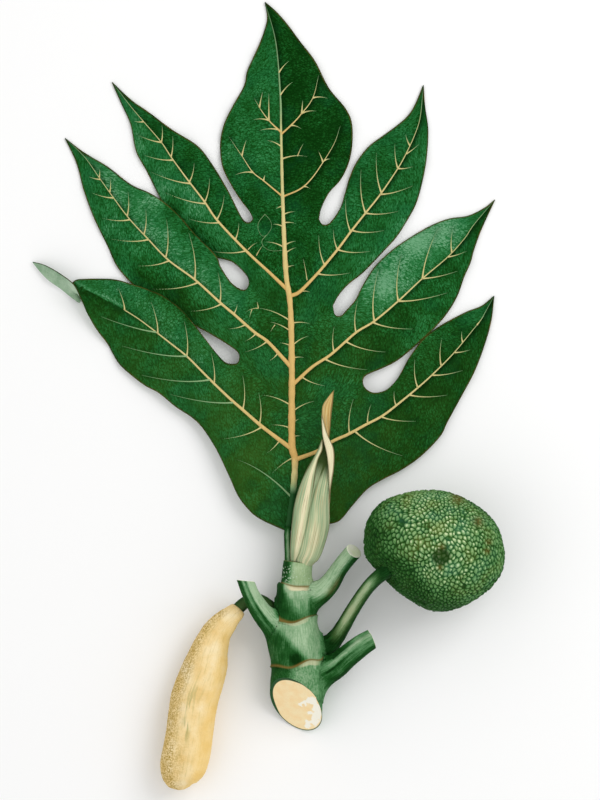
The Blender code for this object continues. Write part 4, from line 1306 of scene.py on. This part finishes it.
def make_fruit():
    units, faces = cube_sphere(BALL_QUADS)
    which, gap, centres = nodule_pattern(units)
    heights = RNG.uniform(0.75, 1.25, NODULES)[which]
    tints = RNG.uniform(0, 1, NODULES)[which]
    cap = ease(gap / 1.15)
    # Painted highlight: a glint on each nodule, off its middle towards the upper left
    glint = (units - centres[which]) * NODULE_SCALE - (-0.25, 0.45, 0)
    peak = ease((1.0 - np.linalg.norm(glint * (1.15, 0.8, 1), axis=1)) / 0.75)
    smooth, normals = fruit_surface(units)
    x, y = units[:, 0], units[:, 1]
    dimple = np.hypot(0.9 * (smooth[:, 0] - DIMPLE[0]), smooth[:, 1] - DIMPLE[1]) / DIMPLE[2]
    dimple = np.exp(-dimple ** 3) * (normals[:, 2] > 0)
    socket = np.exp((units @ unit(np.array(SOCKET)) - 1) / 0.035)
    rise = (NODULE_HEIGHT * cap * heights + NODULE_FOOT) * (1 - 0.8 * dimple)
    points = smooth + normals * (rise - DIMPLE_DEPTH * dimple - SOCKET_DEPTH * socket)[:, None]
    points[:, 2] = np.maximum(points[:, 2], 0.0)
    patch = np.max([spot(points, *place) for place in BROWN_PATCHES], axis=0) * (normals[:, 2] > -0.1)
    # Painted shade: darker towards the lower left, on the underside, at the lower and right edges and around
    # the stalk's socket, with a lighter spot left of the middle
    shade = ease((units @ (0.80, 0.52, 0.22) + 0.62) / 0.85) * (1 - 0.75 * socket)
    shade = shade * (0.55 + 0.45 * ease((normals[:, 2] + 0.05) / 0.5))
    away = 1.2 * (x + 0.1) ** 2 + (y - 0.2) ** 2
    shade = shade - 0.5 * np.clip(away - 0.25, 0, 0.85) * ease((x + 0.2) / 0.4)
    shade = np.clip(shade + 0.14 * band(x, -0.2, 0.2) * band(y, -0.2, 0.4), 0.05, 1.1)
    add_piece("fruit_skin", points, faces, fruit_look(), "fruit", ("fruit",), cap=cap, peak=peak, tint=tints,
              patch=patch, dimple=dimple, shade=shade)


def fruit_look():
    look = Look("fruit skin", 0.5, 0.05)
    grain = look.noise(0.0009, 2.0)
    hue = look.noise(0.012)
    shade = look.value("shade")
    # light is the nodules' painted glints. Nodule tops are lighter than the gaps between them, partly the
    # skin's own pattern and partly painted shade in the gaps, and the painted shade then darkens the tone
    light = look.times(look.value("peak"), look.steps(look.value("tint"), 0.1, 0.9, 0.04, 0.42))
    tone = look.add(look.times(look.value("cap"), 0.56), light, 0.12)
    tone = look.times(tone, look.steps(shade, 0.0, 1.0, 0.32, 1.12))
    tone = look.add(tone, look.sway(look.noise(0.016), 0.10), look.sway(grain, 0.08), clamp=True)
    skin = look.ramp(tone, (0.0, (0.003, 0.032, 0.002)), (0.28, (0.018, 0.090, 0.013)),
                     (0.55, (0.095, 0.24, 0.070)), (0.8, (0.24, 0.40, 0.165)), (1.0, (0.54, 0.66, 0.37)))
    warm = look.times(look.steps(hue, 0.5, 0.7), look.steps(shade, 0.3, 0.9, 0.05, 0.5))
    skin = look.tint(warm, skin, (0.30, 0.30, 0.06))
    cold = look.times(look.steps(hue, 0.48, 0.35), look.steps(shade, 0.3, 0.9, 0.0, 0.4))
    skin = look.tint(cold, skin, (0.08, 0.28, 0.19))
    patch = look.times(look.value("patch"), look.steps(grain, 0.35, 0.6, 0.4, 1.0), clamp=True)
    skin = look.mix(patch, skin, (0.11, 0.085, 0.012))
    dimple = look.times(look.steps(look.value("dimple"), 0.15, 0.55), look.steps(hue, 0.3, 0.6, 1.0, 0.8))
    look.colour(look.mix(dimple, skin, (0.006, 0.034, 0.001)))
    look.bump(grain, 0.0002, 0.4)
    return look.material


# The flower spike

SPIKE = [
    (-19, -138.9, 20, 3.4), (-19.5, -139.4, 20, 4.9), (-21, -140.7, 19.6, 5.7), (-23.5, -142.9, 19, 6.3),
    (-27.4, -146.7, 18, 7.8), (-33.6, -154.3, 16.5, 9.6), (-38, -165, 15.9, 11.9),
    (-40.5, -174.6, 15.7, 14), (-44, -185.3, 15.65, 15), (-48, -197.2, 15.65, 15.5),
    (-50.1, -208.3, 15.65, 15.3), (-51.9, -220.2, 15.65, 15.3), (-53.7, -231.2, 15.65, 15.6),
    (-55.7, -240.6, 15.65, 15.2), (-56.8, -247.3, 15.65, 13.2), (-57, -252, 15.65, 10),
    (-56.7, -254.8, 15.65, 5.6), (-56.5, -256.3, 15.65, 1.6),
]
SPIKE_WAVES = (0.25, 0.2)  # how high its long and its short lumps are
SPIKE_GRAIN = 0.12


def flower_spike_look():
    look = Look("flower spike", 0.7, 0.05)
    streak = look.grain(0.9, 0.07)
    speck = look.noise(0.0010, 4.0)
    dots = look.cells(0.0013)
    cream = look.ramp(look.noise(0.010, 4.0), (0.3, (0.82, 0.58, 0.24)), (0.5, (0.90, 0.69, 0.35)),
                      (0.72, (0.95, 0.79, 0.49)))
    cream = look.mix(look.steps(streak, 0.52, 0.75, 0.0, 0.55), cream, (0.52, 0.42, 0.15))
    # The stipple paints shade, and the lit side is tinted lighter and warmer as painted light
    stipple_shade = look.times(look.value("tone"), look.steps(speck, 0.38, 0.64), clamp=True)
    cream = look.mix(stipple_shade, cream, (0.37, 0.235, 0.025))
    cream = look.mix(look.steps(dots, 0.15, 0.5, 0.10, 0.0), cream, (0.55, 0.38, 0.12))
    cream = look.tint(look.value("bright"), cream, (0.88, 0.58, 0.16))
    green = look.times(look.value("green"), look.steps(streak, 0.45, 0.6), clamp=True)
    look.colour(look.mix(green, cream, (0.25, 0.30, 0.10)))
    look.bump(look.add(speck, dots), 0.0004, 0.5)
    return look.material


def make_flower_spike():
    tube = Tube(SPIKE, sides=220, count=380)
    rings = tube.rings.copy()
    turns, run = np.radians(tube.turns), tube.run
    outward = rings - tube.spine[:, None]
    outward /= np.maximum(np.linalg.norm(outward, axis=2, keepdims=True), 1e-6)
    wave = SPIKE_WAVES[0] * np.sin(turns * 3 + run * 0.05)
    wave = wave + SPIKE_WAVES[1] * np.sin(turns * 5 - run * 0.09 + 1)
    grain = RNG.normal(0, 1, rings.shape[:2])
    grain = (grain + np.roll(grain, 1, 0) + np.roll(grain, 1, 1) + np.roll(grain, (1, 1), (0, 1))) / 4
    rings += outward * (wave + SPIKE_GRAIN * grain)[..., None]
    rings[..., 2] = np.maximum(rings[..., 2], 0.0)
    # Painted shade as ochre stipple over the left side and towards the far end, and painted light that makes
    # the right side lighter and warmer
    side = np.cos(turns)
    stippled_shade = ease((side - 0.25) / 0.6) * ease(run / 12)
    stippled_shade = stippled_shade + 0.5 * ease((run - 88) / 22) * ease((side + 0.3) / 0.6)
    green = band(tube.turns, 82, 9) * band(run, 78, 16)
    add_tube("flower_spike_skin", tube, rings, flower_spike_look(), "flower_spike", ("flower_spike",),
             tone=np.clip(stippled_shade, 0, 1), green=0.7 * green, bright=ease((-side - 0.2) / 0.6))


# The bud sheath

SHEATH_BODY = [
    (21, -111.5, 19.5, 5.6, 4.6), (21.8, -108.4, 20.2, 6.8, 5.2), (22.9, -105, 22.2, 8.4, 6),
    (24.3, -101.3, 24, 9.9, 7), (25.6, -95, 25, 11, 8), (26.8, -87.9, 26, 11.8, 8.5),
    (27.5, -82.4, 26.5, 12, 8.7), (28.3, -72.2, 26.6, 11.2, 8.5), (29.7, -62.7, 26.3, 10.2, 7.4),
    (32, -53.3, 25.4, 9, 5), (34.8, -43.8, 25, 7, 2.4), (36.6, -37, 25.2, 4.6, 1.2),
    (37.6, -30, 25.4, 2, 0.5),
]
# Strips are rows of (left x, left y, right x, right y, z, how far the middle bulges)
SHEATH_BAND = [
    (14.3, -111.5, 19, -111.5, 20, 2.4), (14.1, -107.2, 19.6, -107.2, 22.5, 3),
    (13.9, -101.3, 21, -101.3, 28, 3.6), (14, -95, 23, -95, 30, 3.8), (14.5, -87.9, 24.9, -87.9, 31.5, 4),
    (15, -82.4, 25.9, -82.4, 32.3, 4), (16.3, -72.2, 27.4, -72.2, 33, 3.8),
    (18.7, -62.7, 29.1, -60.7, 32.8, 3.5), (22.3, -53.3, 30.4, -50.3, 31.8, 3),
    (27.4, -43.8, 32.2, -41.8, 30, 2.2), (31.9, -35.2, 35, -35.2, 28.2, 1.2),
    (34.4, -28.6, 35.2, -29, 27, 0.3),
]
SHEATH_RIBBON = [
    (39.2, -70, 39.8, -70, 28.5, 0.4), (39.1, -62.5, 40.1, -62.5, 29.5, 0.5),
    (39, -55, 41.2, -55, 30.5, 0.8), (38.7, -48.5, 42.2, -48.5, 31, 1), (37.9, -40.7, 42.7, -40.7, 31, 1.2),
    (36.9, -35.2, 42.3, -35.2, 30.6, 1.3), (35.7, -30.5, 41, -31.5, 30, 1.3),
    (34.8, -25.5, 38.8, -27, 29.4, 1.1), (34.5, -21, 37.1, -22, 28.9, 0.8),
    (34.3, -16.5, 35.8, -17, 28.6, 0.4), (34.2, -13, 34.8, -13.2, 28.4, 0.15),
]
SHEATH_TIP = [
    (38, -30, 39.2, -29.5, 27.6, -0.2), (36.6, -23, 39.9, -23, 27.6, -0.6),
    (34.6, -16.3, 40.4, -16.3, 27.6, -0.9), (34.5, -10, 41, -10, 27.5, -0.9),
    (35.3, -6, 41.5, -6, 27.4, -0.8), (38.4, -1.4, 42, -1.4, 27.2, -0.4), (41, 1.8, 42.3, 1.8, 27.1, -0.2),
    (42.3, 3.4, 42.5, 3.5, 27, -0.1),
]
STRIP_ROWS, STRIP_COLUMNS = 160, 28
PALE_STOPS = [(0.0, (0.15, 0.25, 0.12)), (0.35, (0.35, 0.45, 0.26)), (0.6, (0.63, 0.63, 0.38)),
              (1.0, (0.93, 0.82, 0.56))]
TIP_STOPS = [(0.0, (0.14, 0.07, 0.015)), (0.35, (0.44, 0.25, 0.07)), (0.6, (0.64, 0.46, 0.17)),
             (1.0, (0.80, 0.66, 0.36))]


def strip_rings(stations, thickness):
    """Rings of a thin curved sheet between its left and its right edge."""
    rows = smooth_curve(stations, STRIP_ROWS)
    left, right = rows[:, (0, 1, 4)], rows[:, (2, 3, 4)]
    across = np.linspace(0, 1, STRIP_COLUMNS)
    top = left[:, None] * (1 - across[:, None]) + right[:, None] * across[:, None]
    arch = np.sqrt(np.clip(4 * across * (1 - across), 0, 1))
    top[..., 2] += rows[:, 5:] * arch
    below = top[:, ::-1].copy()
    below[..., 2] -= thickness * arch[::-1]
    return np.concatenate([top, below[:, 1:-1]], axis=1)


def sheath_look(name, stops):
    look = Look(name, 0.55, 0.06)
    stripe = look.grain(9.0, 0.02, 2.5)
    fine = look.grain(17.0, 0.04)
    tone = look.add(look.value("tone"), look.sway(stripe, 0.22), look.sway(fine, 0.15), clamp=True)
    colour = look.ramp(tone, *stops)
    worn = look.times(look.steps(fine, 0.54, 0.62), look.steps(stripe, 0.35, 0.6, 0.25, 0.7))
    colour = look.mix(worn, colour, (0.30, 0.24, 0.11))
    colour = look.mix(look.value("outline"), colour, (0.16, 0.12, 0.04))
    # Painted shade in the sheath's hollow and under its flap
    look.colour(look.mix(look.value("dark"), colour, (0.028, 0.062, 0.006)))
    look.bump(fine, 0.0003, 0.5)
    return look.material


def make_sheath():
    """The rolled sheath: a spindle in front of the leaf, and the sheet's edges, which wrap around it."""
    pale = sheath_look("bud sheath", PALE_STOPS)
    tube = Tube(SHEATH_BODY, sides=96, count=200)
    y = tube.spine[:, 1:2]
    across = np.cos(np.radians(tube.turns))
    upper = tube.turns < 180
    ridges = 0.018 * np.sin(across * 34) * np.where(upper, 1, 0.3)
    rings = tube.rings + (tube.rings - tube.spine[:, None]) * ridges[..., None]
    stripes = 0.30 * band(across - (y + 110) * 0.004, 0.05, 0.14) * ease((-68 - y) / 20)
    stripes = stripes + 0.25 * band(across, 0.42, 0.1) * ease((-80 - y) / 15)
    # Painted shade: the upper face darkened towards the narrow end, inside the wrapped edges, and along the
    # line where one flap overlaps the other
    hollow = ease((y + 57) / 15) * upper
    slit = band(across - (y + 110) * 0.012, -0.55, 0.07) * upper
    add_tube("bud_sheath_body", tube, rings, pale, "bud_sheath", ("bud_sheath",), tone=0.40 + stripes,
             dark=np.clip(hollow + 0.6 * slit, 0, 0.96), grain_x=across, grain_y=y,
             outline=0.7 * ease((np.abs(across) - 0.93) / 0.06))
    add_strip("bud_sheath_band", SHEATH_BAND, 2.2, pale, 0.28, 0.55)
    add_strip("bud_sheath_ribbon", SHEATH_RIBBON, 0.8, pale, 0.85)
    add_strip("bud_sheath_tip", SHEATH_TIP, 0.6, sheath_look("bud sheath tip", TIP_STOPS), 0.55)


def add_strip(name, stations, thickness, look, tone, stripe=0.0):
    """One edge of the sheath. Tone is how light it is, and stripe how much lighter one stripe of it is."""
    rings = strip_rings(stations, thickness)
    rows, sides = rings.shape[:2]
    across = np.linspace(0, 1, STRIP_COLUMNS)
    across = np.concatenate([across, across[::-1][1:-1]])
    blank = np.zeros((rows, sides))
    width = np.linalg.norm(rings[:, STRIP_COLUMNS - 1] - rings[:, 0], axis=1)[:, None]
    outline = 0.85 * ease(1.5 - (1 - across) * width / 0.7) + 0.65 * ease(1.4 - across * width / 0.5)
    add_piece(name, rings, [face[::-1] for face in skin_faces(rows, sides)], look, "bud_sheath",
              tone=tone + stripe * band(across, 0.62, 0.2) + blank, dark=blank,
              outline=np.clip(outline, 0, 0.85), grain_x=across * 0.8 + blank, grain_y=rings[..., 1])


# Floor, lights and camera

FLOOR_SIZE, FLOOR_HEIGHT = 6.0, -0.0002  # in metres
SKY_STRENGTH = 0.78
# Lights as (name, place in metres, size in metres, watts)
LIGHTS = [("key", (0.9, 0.55, 1.25), 1.0, 9.5), ("fill", (-1.0, -0.4, 1.3), 1.2, 2.0)]
# The camera is straight above the middle of the view, which is 390 by 520 mm
VIEW_CENTRE = (20.3, -3.2)
VIEW_LONG = 520.0
VIEW_PLANE = 5.0  # height at which the view has that size
LENS = 900.0
SENSOR = 36.0


def make_stage():
    bpy.ops.mesh.primitive_plane_add(size=FLOOR_SIZE, location=(0, 0, FLOOR_HEIGHT))
    floor = bpy.context.object
    floor.name = "floor"
    look = Look("floor", 0.9, 0.1)
    look.colour(look.ramp(look.noise(0.4, 2.0), (0.0, (0.93, 0.93, 0.925)), (1.0, (0.95, 0.95, 0.945))))
    floor.data.materials.append(look.material)

    world = bpy.data.worlds.new("studio")
    world.use_nodes = True
    world.node_tree.nodes["Background"].inputs["Color"].default_value = (1.0, 1.0, 1.0, 1.0)
    world.node_tree.nodes["Background"].inputs["Strength"].default_value = SKY_STRENGTH
    bpy.context.scene.world = world
    for name, place, size, power in LIGHTS:
        light = bpy.data.lights.new(name, "AREA")
        light.size = size
        light.energy = power
        lamp = bpy.data.objects.new(name, light)
        lamp.location = place
        lamp.rotation_euler = (-Vector(place)).to_track_quat("-Z", "Y").to_euler()
        bpy.context.scene.collection.objects.link(lamp)


def make_camera():
    data = bpy.data.cameras.new("camera")
    data.lens = LENS
    data.sensor_width = SENSOR
    data.clip_end = 50.0
    camera = bpy.data.objects.new("camera", data)
    distance = VIEW_LONG * LENS / SENSOR + VIEW_PLANE
    camera.location = (VIEW_CENTRE[0] * MM, VIEW_CENTRE[1] * MM, distance * MM)
    bpy.context.scene.collection.objects.link(camera)
    bpy.context.scene.camera = camera


bpy.context.scene.view_settings.view_transform = "Standard"
make_camera()
make_stage()
make_leaf()
make_stalks()
make_fruit()
make_flower_spike()
make_sheath()
